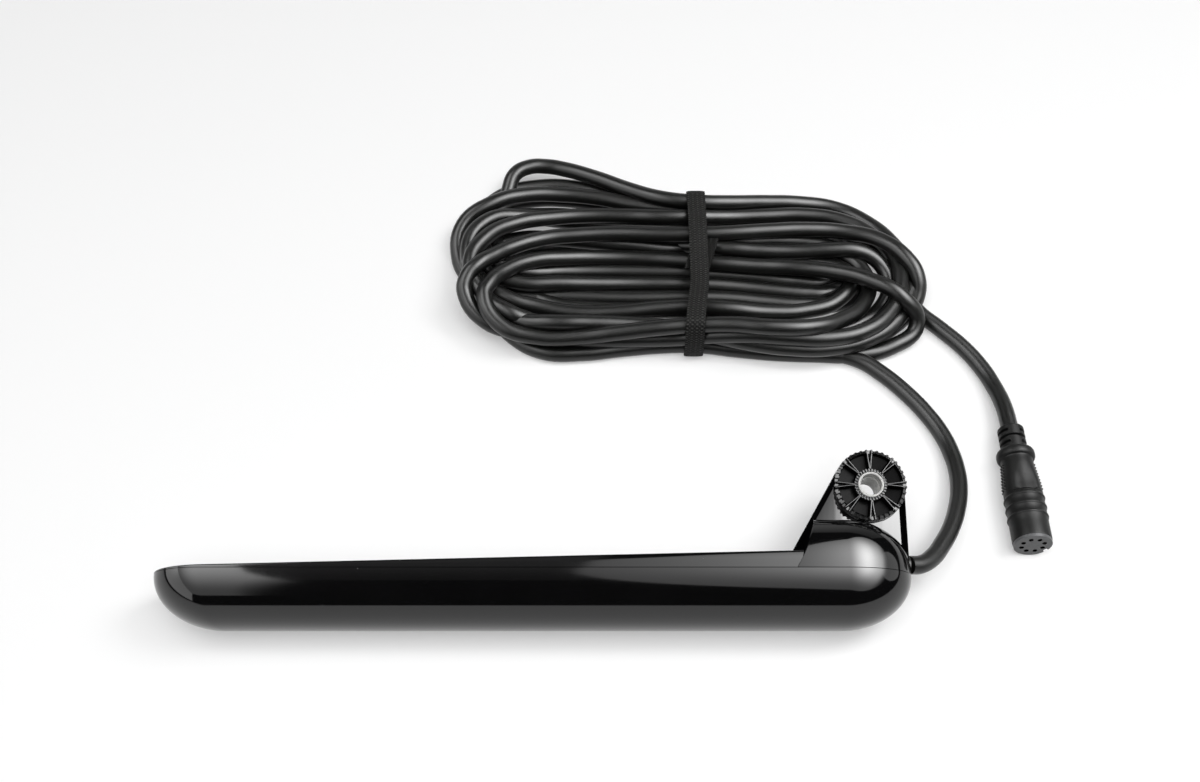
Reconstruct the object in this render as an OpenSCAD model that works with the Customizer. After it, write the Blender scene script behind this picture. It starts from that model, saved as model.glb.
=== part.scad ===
// Sonar transducer for a transom mount, lying on its side beside its own cable, which is tied in a hank.
// Lengths are in millimetres and angles in degrees.
// The body's own frame has X along its length with the nose at +X, Y from the sensor face up to the ear,
// Z across the body, and its origin on the seam between the two shells at mid length.

/* [Body] */
// Length of the body from tip to nose
body_len = 265; // [250:1:290]
// Width of the body across its sides
body_w = 37.6; // [36:0.2:42]
// Depth of the sensor face below the seam, as a share of the body's width
keel_share = 0.5; // [0.48:0.01:0.56]
// Wall thickness of both shells
wall = 2.2; // [1.6:0.1:2.6]
// Length of the rounded tip, seen from the side
tip_run = 26; // [20:1:32]
// Length of the rounded nose, seen from the side
nose_run = 25; // [22:1:27]
// Length of the rounded tip, seen from the deck
tip_plan = 20; // [14:1:26]
// Length of the rounded nose, seen from the deck
nose_plan = 24; // [20:1:26]
// Lean of the body as it lies, from flat on its side towards the sensor face
lean = 18; // [0:1:24]

/* [Cover] */
// Height of the deck above the seam at the tip
deck_tip_h = 0.6; // [0.5:0.1:2]
// Height of the deck above the seam at the foot of the prow
deck_prow_h = 5.9; // [5.4:0.1:7]
// Distance of the prow's foot from the nose
prow_setback = 43; // [42:0.5:46]
// Radius of the prow across the body
prow_r = 74; // [50:1:120]
// Height of the nose dome at its full round
dome_h = 20.2; // [19:0.2:23]
// Width of the flat on top of the dome
dome_top_w = 18.4; // [16:0.2:22]

/* [Ear] */
// Distance of the pivot bore from the nose
pivot_setback = 13.5; // [12.5:0.5:16]
// Height of the pivot bore above the seam
pivot_h = 31.5; // [29.5:0.5:36]
// Width of the ear across its two ratchet faces
ear_w = 16; // [14:0.5:20]
// Thickness of the ear's web
web_t = 5; // [4:0.5:6]
// Width of the flanges along the ear's edges
flange_w = 14; // [10:0.5:16]
// Thickness of those flanges
flange_t = 1.6; // [1.2:0.1:2.4]

/* [Ratchets and sleeve] */
// Diameter of a ratchet
ratchet_d = 25.4; // [23.2:0.2:26.2]
// Thickness of a ratchet
ratchet_t = 4.5; // [3.5:0.25:5]
// Thickness of a ratchet's floor under its pockets
ratchet_floor = 1.2; // [0.8:0.1:2]
// Number of spokes and of pockets on a ratchet
spoke_count = 8; // [6:1:12]
// Width of a spoke at the hub
spoke_hub_w = 1.4; // [1:0.1:2]
// Width of a spoke at the rim
spoke_rim_w = 2.6; // [1.4:0.1:3.2]
// Width of the toothed rim
rim_w = 1.4; // [1:0.1:2]
// Number of teeth round the rim
rim_teeth = 40; // [32:8:48]
// Outside diameter of the pivot sleeve
sleeve_d = 9.2; // [8.6:0.1:10]
// Diameter of the bore for the pivot bolt
pivot_d = 6.4; // [6:0.1:7]
// Diameter of the wider mouth at each end of the sleeve
mouth_d = 7.4; // [7.1:0.1:8]
// Depth of that mouth
mouth_depth = 4; // [2:0.5:6]

/* [Sound elements] */
// Width of a bar element across its face
bar_w = 4; // [3:0.25:5]
// Thickness of a bar element
bar_t = 4; // [3:0.25:5]
// Thickness of the foam backing behind a bar
backing_t = 2; // [1.5:0.25:3]
// Angle of the side bars from straight down
side_angle = 50; // [45:1:58]
// Height of the carrier's top below the seam
carrier_drop = 3; // [2.5:0.25:4]
// Diameter of the round element, as a share of the room inside the housing
disc_share = 0.72; // [0.62:0.01:0.74]
// Thickness of the round element
disc_t = 7; // [5:0.25:7.5]
// Wall of the cup round that element
cup_wall = 1.5; // [1:0.1:1.8]

/* [Board] */
// Length of the terminal board
board_len = 56; // [48:1:64]
// Width of the terminal board
board_w = 22; // [18:0.5:26]
// Thickness of the terminal board
board_t = 1.6; // [1:0.1:1.6]
// Outside diameter of a matching coil
coil_d = 8; // [6:0.25:9]
// Diameter of the wire wound section of a coil
coil_wire = 2.8; // [2:0.1:3]
// Diameter of a lead from an element to the board
lead_d = 0.8; // [0.5:0.1:1.2]
// Diameter of the temperature sensor
thermistor_d = 3; // [2:0.1:3.4]
// Length of the temperature sensor
thermistor_len = 9; // [6:0.5:12]

/* [Cable] */
// Diameter of the cable inside the nose
cable_d = 6; // [5:0.1:6.2]
// Diameter of the jacketed cable outside the nose
jacket_d = 6.6; // [5.8:0.1:7]
// Height of the cable's exit above the seam
exit_h = 4.1; // [4:0.1:4.8]
// Diameter of the grommet in the nose
grommet_d = 7.6; // [7.2:0.1:7.8]
// Length of the cable clamp
clamp_len = 10; // [8:0.5:11]
// Width of the cable clamp
clamp_w = 16; // [15:0.5:18]
// Thickness of the clamp above the cable
clamp_t = 2.5; // [2:0.1:3]
// Diameter of the clamp's screws
screw_d = 2.2; // [1.6:0.1:2.4]

/* [Plug] */
// Length of the plug from tail to face
plug_len = 51; // [46:1:57]
// Diameter of the plug's barrel
barrel_d = 14.4; // [14:0.1:15.5]
// Height of the ring ridges on the barrel
ridge_h = 0.4; // [0.2:0.1:0.8]
// Diameter of the collar behind the grip
collar_d = 14.4; // [13.5:0.1:15]
// Diameter of the strain relief at the tail
relief_d = 10; // [9:0.1:11]
// Diameter of the circle of contacts
contact_circle = 8.3; // [7:0.1:9]
// Diameter of a contact's hole in the face
contact_hole = 1.4; // [1:0.1:1.5]

/* [Hank] */
// Length of the hank
hank_len = 198; // [184:1:212]
// Width of the hank
hank_w = 87; // [80:1:94]
// Height of the hank
hank_h = 22; // [19:0.5:26]
// Width of the strap
strap_w = 7.6; // [6:0.2:10]
// Thickness of the strap
strap_t = 1.2; // [0.8:0.1:2]

/* [Hidden] */
$fn = 64;

// Clearance between pieces that seat in one another
fit = 0.15;
// Overlap that makes a cut run clean through
over = 1;
half_w = body_w / 2;
keel_depth = keel_share * body_w;
nose_x = body_len / 2;
tip_x = -body_len / 2;

// Prow and ear, in the body's frame
prow_x = nose_x - prow_setback;
pivot_x = nose_x - pivot_setback;
boss_r = ratchet_d / 2;
boss_w = ear_w - 2 * ratchet_t;
to_pivot = [pivot_x - prow_x, pivot_h - deck_prow_h];
flange_r = boss_r - 0.05;
prow_angle = atan2(to_pivot[1], to_pivot[0]) + asin(flange_r / norm(to_pivot));
prow_dir = [cos(prow_angle), sin(prow_angle)];
prow_in = [sin(prow_angle), -cos(prow_angle)];
prow_foot = [prow_x, deck_prow_h] - 2 * prow_dir;
prow_top = [pivot_x, pivot_h] - flange_r * prow_in;
prow_lip = 0.3;
ear_right = pivot_x + flange_r;
ear_low = 5;
deck_half_w = half_w - 0.03;
deck_end_half_w = half_w - 1.2;
deck_turn = prow_x + 5;
deck_slope = (deck_prow_h - deck_tip_h) / (prow_x - tip_x);
function deck_y(x) = deck_tip_h + deck_slope * (x - tip_x);

// The body lies on its round side, and the row's origin is under the middle of the transducer
axis_z = sqrt(pow(half_w * cos(lean), 2) + pow(keel_depth * sin(lean), 2));
low_y = -sqrt(pow(half_w * sin(lean), 2) + pow(keel_depth * cos(lean), 2));
high_y = (pivot_h + boss_r) * cos(lean) + ear_w / 2 * sin(lean);
mid_y = (low_y + high_y) / 2;

// Round of the two shells: rings per quarter turn, and points per rounded end
shell_rings = 10;
end_points = 16;
keel_angle = 84;
dome_power = 1 / 1.2;
dome_angle = acos(pow(dome_top_w / body_w, 1 / dome_power));

// Round space inside the lower housing, and what seats in it
inner_r = min(half_w, keel_depth) - wall;
carrier_r = inner_r - fit;
bar_face_r = carrier_r - 0.4;
bar_back_r = bar_face_r - bar_t;
backing_back_r = bar_back_r - backing_t;
slot_w = bar_w + 2 * fit;
disc_d = disc_share * 2 * inner_r;
cup_r = disc_d / 2 + fit + cup_wall;
cup_x = prow_x + 6;
cup_low = -sqrt(pow(carrier_r, 2) - pow(cup_r, 2));
disc_low = -sqrt(pow(carrier_r, 2) - pow(disc_d / 2, 2));
disc_top = disc_low + disc_t;
cup_top = disc_top + cup_wall;
pad_r = disc_d / 2 - 0.5;
carrier_x0 = tip_x + tip_run + 2;
carrier_x1 = cup_x - cup_r - 3;
bar_x0 = carrier_x0 + 3;
bar_x1 = carrier_x1 - 14;

// Board and what stands on it
board_x1 = carrier_x1 - 4;
board_x0 = board_x1 - board_len;
board_y0 = -carrier_drop;
board_y1 = board_y0 + board_t;
hollow_x0 = board_x0 - 5;
hollow_x1 = prow_x + 8;
coil_x = [board_x1 - 10, board_x1 - 21];
coil_z = 5;
lead_x = [board_x0 + 6, board_x0 + 10, board_x0 + 14];
lead_angles = [-side_angle, 0, side_angle];
lead_top_r = 1.6;
capacitor = [3.2, 1.2, 1.6];
capacitor_x = [board_x0 + 20, board_x0 + 26];
thermistor_angle = side_angle / 2;
thermistor_r = bar_back_r;

// Cable inside the nose
clamp_x0 = prow_x + 7;
tail_x = prow_x + 5;
clamp_top = exit_h + cable_d / 2 + clamp_t;
screw_z = (cable_d + clamp_w) / 4 + 0.25;
screw_head = [2 * screw_d - 0.4, 1.6];
screw_grip = 4;
grommet_x = [nose_x - 6, nose_x - 1.8];
core_d = 1;
core_from = [[-1.8, -0.8], [-1.8, 0.8], [-0.3, -0.8], [-0.3, 0.8]];
core_to = [-4, 2.4, -2.4, 4];

// Free cable, as it lies: from the nose to the hank, and from the hank to the plug
lead_route = [
    [132.4, -8.9, 20.1], [137, -8.2, 19], [142, -5.2, 17.4], [147, 1.4, 15.2], [151.2, 9.2, 12.9],
    [155, 18.4, 10.4], [157.8, 28.2, 7.9], [159, 38, 5.8], [158.2, 47.8, 4.3], [155.6, 57.8, 3.5],
    [150.8, 68, 3.3], [144.2, 77.8, 3.3], [136, 87, 3.3], [127, 94, 3.3],
];
plug_route = [
    [153.5, 118.5, 3.3], [162.5, 109.5, 3.3], [170, 100.5, 3.3], [176, 90.5, 3.3], [179.6, 80, 4],
    [181.2, 69, 6.2], [181.5, 57.1, 7.6],
];
lead_start = [1, 0, 0];
lead_end = unit(lead_route[13] - lead_route[12]);
plug_start = unit(plug_route[1] - plug_route[0]);
plug_end = [0, -1, 0];
cable_sides = 10;

// Hank and strap, as they lie
hank_mid = [58, 131.5];
hank_r = hank_w / 2;
strap_x = 63;
strap_y = [hank_mid[1] - hank_r + 6.5, hank_mid[1] + hank_r + 1];
loose_loop = [[-8, 187.5], [56, 167.5]];
loose_r = 9;

// Plug, from its tail along its own axis
plug_tail = [181.5, 57.1, 7.6];
relief_len = 10.6;
collar_len = 4;
grip_len = 16;
grip_z = relief_len + collar_len;
barrel_z = grip_z + grip_len;
grip_d0 = 12.2;
groove_w = 1.1;
groove_depth = 1.2;
bridge_w = 4.4;
ridge_w = 1.2;
ridge_pitch = 4;
barrel_wall = 1.2;
insert_lip = 1.2;
insert_r = barrel_d / 2 - barrel_wall - fit;
contact_count = 8;
contact_len = 11;
contact_recess = 0.8;
key_w = 2.2;
key_depth = 1.4;
key_angle = -35;

function unit(v) = v / norm(v);

// Places a piece of the body from its own frame to where it lies
module lie() translate([0, -mid_y, axis_z]) rotate([lean, 0, 0]) children();

// Places a piece of the plug from its own axis to where it lies
module lay_plug() translate(plug_tail) rotate([90, 0, 0]) children();

// Extrudes a section drawn across the body along its length, from x0 to x1
module along(x0, x1) translate([x0, 0, 0]) rotate([90, 0, 90]) linear_extrude(x1 - x0) children();

// Extrudes a side view of the body across its width, from -w / 2 to w / 2
module across(w) linear_extrude(w, center = true) children();

// Closed skin over rings of equal length, with flat caps on the first and the last ring
module skin(rings) {
    n = len(rings[0]);
    last = len(rings) - 1;
    sides = [for (j = [0:last - 1]) for (i = [0:n - 1]) for (t = [0, 1])
        t == 0
            ? [j * n + i, j * n + (i + 1) % n, (j + 1) * n + (i + 1) % n]
            : [j * n + i, (j + 1) * n + (i + 1) % n, (j + 1) * n + i]];
    caps = [[for (i = [n - 1:-1:0]) i], [for (i = [0:n - 1]) last * n + i]];
    polyhedron(points = [for (r = rings) each r], faces = concat(sides, caps));
}

// Outline of the lower housing at one angle of its round, seen from the deck
function housing_ring(a, inset) =
    let (w = (half_w - inset) * cos(a), y = -(keel_depth - inset) * sin(a),
        nose = nose_x - inset - nose_run * (1 - cos(a)), tip = tip_x + inset + tip_run * (1 - cos(a)),
        np = nose_plan * cos(a), tp = tip_plan * cos(a))
    [for (i = [0:end_points]) let (f = -90 + 180 * i / end_points)
        [nose - np + np * cos(f), y, w * sin(f)],
     for (i = [0:end_points]) let (f = 90 + 180 * i / end_points)
        [tip + tp + tp * cos(f), y, w * sin(f)]];

// Outline of the nose dome at one angle of its round: nose end, then the prow's shallow arc
function dome_ring(a, inset, y) =
    let (w = (half_w - inset) * pow(cos(a), dome_power), nose = nose_x - inset - nose_run * (1 - cos(a)),
        np = nose_plan * cos(a),
        prow = prow_x + prow_lip + inset / sin(prow_angle) + (y - deck_prow_h) / tan(prow_angle))
    [for (i = [0:end_points]) let (f = -90 + 180 * i / end_points)
        [nose - np + np * cos(f), y, w * sin(f)],
     for (i = [0:end_points / 2]) let (z = w * (1 - 4 * i / end_points))
        [prow + z * z / (2 * prow_r), y, z]];

module dome(inset, foot) {
    angles = [for (j = [0:shell_rings]) dome_angle * j / shell_rings];
    levels = [for (a = angles) (dome_h - inset) * pow(sin(a), dome_power)];
    rings = [for (j = [0:shell_rings]) dome_ring(angles[j], inset, levels[j])];
    skin(foot > 0 ? concat([dome_ring(0, inset, -foot)], rings) : rings);
}

// Wedge-shaped deck: the body's plan, cut under the sloping deck line
module deck() {
    plan = [for (i = [0:end_points]) let (f = 90 + 180 * i / end_points)
        [tip_x + tip_plan + tip_plan * cos(f), deck_half_w * sin(f)]];
    intersection() {
        rotate([-90, 0, 0]) linear_extrude(deck_prow_h + over)
            polygon(concat(plan, [[deck_turn, -deck_half_w], [hollow_x1, -deck_end_half_w],
                [hollow_x1, deck_end_half_w], [deck_turn, deck_half_w]]));
        across(body_w + over)
            polygon([[tip_x, 0], [tip_x, deck_y(tip_x)], [hollow_x1, deck_y(hollow_x1)], [hollow_x1, 0]]);
    }
}

module ear() {
    across(web_t)
        polygon([prow_foot, prow_top, [pivot_x, pivot_h], [ear_right, pivot_h], [ear_right, ear_low]]);
    translate([pivot_x, pivot_h, 0]) cylinder(r = boss_r, h = boss_w, center = true);
    across(flange_w) {
        polygon([prow_foot, prow_top, prow_top + flange_t * prow_in, prow_foot + flange_t * prow_in]);
        translate([ear_right - flange_t, ear_low]) square([flange_t, pivot_h - ear_low]);
    }
}

module lower_housing() color("#101010") lie() {
    angles = [for (j = [0:shell_rings]) keel_angle * j / shell_rings];
    skin(concat(
        [for (j = [shell_rings:-1:0]) housing_ring(angles[j], 0)],
        [for (j = [0:shell_rings]) housing_ring(angles[j], wall)]));
}

module top_cover() color("#141414") lie() difference() {
    union() {
        deck();
        dome(0, 0);
        ear();
    }
    dome(wall, over);
    across(body_w - 2 * wall)
        polygon([[hollow_x0, -over], [hollow_x0, deck_y(hollow_x0) - wall],
            [hollow_x1, deck_y(hollow_x1) - wall], [hollow_x1, -over]]);
    translate([pivot_x, pivot_h, 0]) cylinder(d = sleeve_d + fit, h = ear_w, center = true);
    for (side = [0, 1]) mirror([0, 0, side])
        translate([pivot_x, pivot_h, boss_w / 2]) cylinder(r = boss_r + fit, h = body_w);
    translate([pivot_x, exit_h, 0]) rotate([0, 90, 0]) cylinder(d = grommet_d + fit, h = 2 * pivot_setback);
}

// One pocket between two spokes, drawn flat
module pocket() {
    pitch = 360 / spoke_count;
    r0 = sleeve_d / 2 + 1;
    r1 = boss_r - rim_w;
    a0 = asin(spoke_hub_w / 2 / r0);
    a1 = asin(spoke_rim_w / 2 / r1);
    steps = 4;
    polygon(concat(
        [for (i = [0:steps]) let (a = a0 + (pitch - 2 * a0) * i / steps) r0 * [cos(a), sin(a)]],
        [for (i = [steps:-1:0]) let (a = a1 + (pitch - 2 * a1) * i / steps) r1 * [cos(a), sin(a)]]));
}

module ratchet() difference() {
    cylinder(r = boss_r, h = ratchet_t);
    translate([0, 0, -over]) cylinder(d = sleeve_d + fit, h = ratchet_t + 2 * over);
    for (i = [0:spoke_count - 1]) rotate(i * 360 / spoke_count)
        translate([0, 0, ratchet_floor]) linear_extrude(ratchet_t) pocket();
    tooth = PI * ratchet_d / rim_teeth / 2;
    for (i = [0:rim_teeth - 1]) rotate((i + 0.5) * 360 / rim_teeth)
        translate([boss_r - rim_w / 2, -tooth / 2, ratchet_t - tooth]) cube([rim_w, tooth, tooth + over]);
}

module ratchet_port() color("#181818") lie()
    translate([pivot_x, pivot_h, -boss_w / 2]) mirror([0, 0, 1]) ratchet();

module ratchet_starboard() color("#181818") lie() translate([pivot_x, pivot_h, boss_w / 2]) ratchet();

module pivot_sleeve() color("#9a9a9a") lie() translate([pivot_x, pivot_h, 0]) difference() {
    cylinder(d = sleeve_d, h = ear_w, center = true);
    cylinder(d = pivot_d, h = ear_w + over, center = true);
    for (side = [0, 1]) mirror([0, 0, side])
        translate([0, 0, ear_w / 2 - mouth_depth]) cylinder(d = mouth_d, h = mouth_depth + over);
}

// Block in the section across the body: from radius r0 to r1 at an angle from straight down
module radial_block(angle, r0, r1, w) rotate(angle) translate([-r1, -w / 2]) square([r1 - r0, w]);

// Rod along a radius of the section, at length x
module radial_rod(x, angle, r0, r1, d) translate([x, 0, 0]) rotate([angle, 0, 0])
    translate([0, -r0, 0]) rotate([90, 0, 0]) cylinder(d = d, h = r1 - r0);

module element_carrier() color("#d8cfa8") lie() difference() {
    along(carrier_x0, carrier_x1) difference() {
        circle(r = carrier_r);
        translate([-carrier_drop, -body_w]) square([body_w, 2 * body_w]);
    }
    along(bar_x0 - fit, bar_x1 + fit) for (a = lead_angles)
        radial_block(a, backing_back_r, carrier_r + over, slot_w);
    for (i = [0:2]) radial_rod(lead_x[i], lead_angles[i], lead_top_r, bar_back_r, lead_d + 2 * fit);
    translate([carrier_x1 - thermistor_len, 0, 0]) thermistor_rod(2 * fit, over);
}

module bar(angle) along(bar_x0, bar_x1) radial_block(angle, bar_back_r, bar_face_r, bar_w);

module backing(i) difference() {
    along(bar_x0, bar_x1) radial_block(lead_angles[i], backing_back_r, bar_back_r, bar_w);
    radial_rod(lead_x[i], lead_angles[i], lead_top_r, bar_back_r + over, lead_d + 2 * fit);
}

module side_scan_bar_starboard() color("#b9a06a") lie() bar(lead_angles[0]);
module down_scan_bar() color("#b9a06a") lie() bar(lead_angles[1]);
module side_scan_bar_port() color("#b9a06a") lie() bar(lead_angles[2]);
module side_scan_backing_starboard() color("#3c3c3c") lie() backing(0);
module down_scan_backing() color("#3c3c3c") lie() backing(1);
module side_scan_backing_port() color("#3c3c3c") lie() backing(2);

module chirp_element() color("#b9a06a") lie() translate([cup_x, disc_top, 0]) rotate([90, 0, 0])
    cylinder(d = disc_d, h = disc_t);

module chirp_cup() color("#2b2b2b") lie() translate([cup_x, cup_top, 0]) rotate([90, 0, 0]) difference() {
    cylinder(r = cup_r, h = cup_top - cup_low);
    translate([0, 0, cup_wall]) cylinder(d = disc_d + 2 * fit, h = cup_top - cup_low);
}

module chirp_bond_pad() color("#c9b46e") lie() intersection() {
    translate([cup_x, disc_low, 0]) rotate([90, 0, 0]) cylinder(r = pad_r, h = inner_r);
    along(cup_x - cup_r, cup_x + cup_r) circle(r = carrier_r);
}

module thermistor_rod(grow, longer) rotate([thermistor_angle, 0, 0]) translate([0, -thermistor_r, 0])
    rotate([0, 90, 0]) cylinder(d = thermistor_d + grow, h = thermistor_len + longer);

module thermistor() color("#303a30") lie()
    translate([carrier_x1 - thermistor_len, 0, 0]) thermistor_rod(0, 0);

module terminal_board() color("#1f5a34") lie() difference() {
    translate([board_x0, board_y0, -board_w / 2]) cube([board_len, board_t, board_w]);
    for (i = [0:2]) radial_rod(lead_x[i], lead_angles[i], 0, bar_back_r, lead_d + 2 * fit);
}

module matching_coils() color("#8a4a20") lie() for (x = coil_x) for (z = [-coil_z, coil_z])
    translate([x, board_y1 + coil_wire / 2, z]) rotate([90, 0, 0]) rotate_extrude()
        translate([(coil_d - coil_wire) / 2, 0]) circle(d = coil_wire);

module board_capacitors() color("#a08a60") lie() for (x = capacitor_x) for (z = [-coil_z, coil_z])
    translate([x, board_y1, z - capacitor[2] / 2]) cube(capacitor);

module element_leads() color("#b0b0b0") lie() for (i = [0:2])
    radial_rod(lead_x[i], lead_angles[i], lead_top_r, bar_back_r, lead_d);

module core_wires() color("#a03030") lie() for (i = [0:3]) {
    from = [tail_x, exit_h + core_from[i][0], core_from[i][1]];
    to = [board_x1 - 2, board_y1 + core_d / 2, core_to[i]];
    run = to - from;
    turn = [0, acos(run[2] / norm(run)), atan2(run[1], run[0])];
    translate(from) rotate(turn) cylinder(d = core_d, h = norm(run));
}

module cable_tail() color("#161616") lie() translate([tail_x, exit_h, 0]) rotate([0, 90, 0])
    cylinder(d = cable_d, h = nose_x - 0.1 - tail_x);

module cable_grommet() color("#202020") lie()
    translate([grommet_x[0], exit_h, 0]) rotate([0, 90, 0]) difference() {
        cylinder(d = grommet_d, h = grommet_x[1] - grommet_x[0]);
        translate([0, 0, -over]) cylinder(d = cable_d + fit, h = nose_run);
    }

// Round channel for the cable and holes for the screws, cut from the saddle and the clamp
module clamp_cuts(hole) {
    translate([clamp_x0 - over, exit_h, 0]) rotate([0, 90, 0])
        cylinder(d = cable_d + fit, h = clamp_len + 2 * over);
    for (z = [-screw_z, screw_z]) translate([clamp_x0 + clamp_len / 2, clamp_top + over, z])
        rotate([90, 0, 0]) cylinder(d = hole, h = clamp_top + over - exit_h + screw_grip);
}

module cable_saddle() color("#262626") lie() difference() {
    translate([clamp_x0, cup_top, -clamp_w / 2]) cube([clamp_len, exit_h - cup_top - fit, clamp_w]);
    clamp_cuts(screw_d + fit);
}

module cable_clamp() color("#262626") lie() difference() {
    translate([clamp_x0, exit_h + fit, -clamp_w / 2]) cube([clamp_len, clamp_top - exit_h - fit, clamp_w]);
    clamp_cuts(screw_d + 2 * fit);
}

module clamp_screws() color("#c0c0c0") lie() for (z = [-screw_z, screw_z])
    translate([clamp_x0 + clamp_len / 2, clamp_top, z]) rotate([90, 0, 0]) {
        cylinder(d = screw_d, h = clamp_top - exit_h + screw_grip - fit);
        translate([0, 0, -screw_head[1]]) cylinder(d = screw_head[0], h = screw_head[1]);
    }

// Ring of a tube, square to the direction d at the point p
function tube_ring(p, d) =
    let (side = unit(cross(d, [0, 0, 1])), rise = cross(side, d))
    [for (i = [0:cable_sides - 1]) let (a = 360 * i / cable_sides)
        p + jacket_d / 2 * (cos(a) * side + sin(a) * rise)];

// Direction of a route at one of its inner points
function heading(route, i) = unit(unit(route[i + 1] - route[i]) + unit(route[i] - route[i - 1]));

// Tube along a route, square to the given directions at its two ends
module tube(route, first, final) {
    last = len(route) - 1;
    skin([for (i = [0:last]) tube_ring(route[i], i == 0 ? first : i == last ? final : heading(route, i))]);
}

module lead_cable() color("#181818") tube(lead_route, lead_start, lead_end);

module plug_cable() color("#181818") tube(plug_route, plug_start, plug_end);

// Long outline with round ends between two points
module slot_outline(p, q, r) {
    for (c = [p, q]) translate(c) circle(r = r);
    translate(p) rotate(atan2(q[1] - p[1], q[0] - p[0])) translate([0, -r]) square([norm(q - p), 2 * r]);
}

// Room beyond the end of a tube, cut square to it so that the tube meets a flat face
module tube_room(p, d) translate([p[0], p[1], 0]) rotate(atan2(d[1], d[0]))
    translate([-hank_r / 2, -jacket_d, -over]) cube([hank_r / 2, 2 * jacket_d, jacket_d + 2 * over]);

// Block inside the strap's loop, drawn in from its outside by an inset
module strap_block(w, inset) translate([strap_x - w / 2, strap_y[0] + inset, inset])
    cube([w, strap_y[1] - strap_y[0] - 2 * inset, hank_h - 2 * inset]);

module cable_hank() color("#1a1a1a") {
    run = [hank_len / 2 - hank_r, 0];
    difference() {
        linear_extrude(hank_h) {
            slot_outline(hank_mid - run, hank_mid + run, hank_r);
            slot_outline(loose_loop[0], loose_loop[1], loose_r);
        }
        translate([strap_x - strap_w / 2, 0, -over]) cube([strap_w, 2 * strap_y[1], hank_h + 2 * over]);
        tube_room(lead_route[len(lead_route) - 1], lead_end);
        tube_room(plug_route[0], -plug_start);
    }
    strap_block(strap_w, strap_t);
}

module hank_strap() color("#1e1e1e") difference() {
    strap_block(strap_w, 0);
    strap_block(2 * strap_w, strap_t);
}

// Groove round the strain relief, left whole at two bridges where bridged is true
module relief_groove(z, bridged) difference() {
    translate([0, 0, z - groove_w / 2]) difference() {
        cylinder(d = collar_d, h = groove_w);
        translate([0, 0, -over]) cylinder(d = relief_d - 2 * groove_depth, h = groove_w + 2 * over);
    }
    if (bridged) translate([-bridge_w / 2, -collar_d, z - groove_w])
        cube([bridge_w, 2 * collar_d, 2 * groove_w]);
}

module plug_overmould() color("#1c1c1c") lay_plug() difference() {
    rotate_extrude() polygon([
        [0, 0], [relief_d / 2 - 0.5, 0], [relief_d / 2, 0.8], [relief_d / 2 + 0.5, relief_len],
        [collar_d / 2 - 0.8, relief_len], [collar_d / 2, relief_len + 1],
        [collar_d / 2, grip_z - 1.6], [collar_d / 2 - 0.8, grip_z - 0.6], [grip_d0 / 2, grip_z],
        [barrel_d / 2, barrel_z - 3], [barrel_d / 2, barrel_z], [0, barrel_z]]);
    for (i = [0:2]) relief_groove(relief_len * (i + 1) / 4, i != 1);
}

// Foot of each contact, on its circle behind the plug's face
module contact_places() for (i = [0:contact_count - 1]) rotate((i + 0.5) * 360 / contact_count)
    translate([contact_circle / 2, 0, plug_len - contact_recess - contact_len]) children();

// Key notch through the front of the barrel and the insert's lip
module key_notch() rotate(key_angle) translate([barrel_d / 2 - key_depth, -key_w / 2, plug_len - 3])
    cube([barrel_d, key_w, 3 + over]);

module plug_barrel() color("#1c1c1c") lay_plug() difference() {
    union() {
        translate([0, 0, barrel_z]) cylinder(d = barrel_d, h = plug_len - insert_lip - barrel_z);
        for (i = [0:2]) translate([0, 0, barrel_z + 1 + i * ridge_pitch])
            cylinder(d = barrel_d + 2 * ridge_h, h = ridge_w);
    }
    translate([0, 0, barrel_z + over]) cylinder(r = insert_r + fit, h = plug_len);
    key_notch();
}

module plug_insert() color("#5a5a5a") lay_plug() difference() {
    union() {
        translate([0, 0, barrel_z + over]) cylinder(r = insert_r, h = plug_len - barrel_z - over);
        translate([0, 0, plug_len - insert_lip]) cylinder(d = barrel_d - 0.4, h = insert_lip);
    }
    contact_places() cylinder(d = contact_hole, h = plug_len);
    key_notch();
}

module plug_contacts() color("#b08d3c") lay_plug() contact_places() difference() {
    cylinder(d = contact_hole - fit, h = contact_len);
    translate([0, 0, contact_len / 3]) cylinder(d = contact_hole / 2, h = contact_len);
}

lower_housing();
top_cover();
ratchet_port();
ratchet_starboard();
pivot_sleeve();
element_carrier();
down_scan_bar();
side_scan_bar_port();
side_scan_bar_starboard();
down_scan_backing();
side_scan_backing_port();
side_scan_backing_starboard();
chirp_element();
chirp_cup();
chirp_bond_pad();
thermistor();
terminal_board();
matching_coils();
board_capacitors();
element_leads();
core_wires();
cable_tail();
cable_grommet();
cable_saddle();
cable_clamp();
clamp_screws();
lead_cable();
cable_hank();
plug_cable();
hank_strap();
plug_overmould();
plug_barrel();
plug_insert();
plug_contacts();
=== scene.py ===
from math import acos, asin, atan2, cos, exp, hypot, pi, radians, sin, tan

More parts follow.
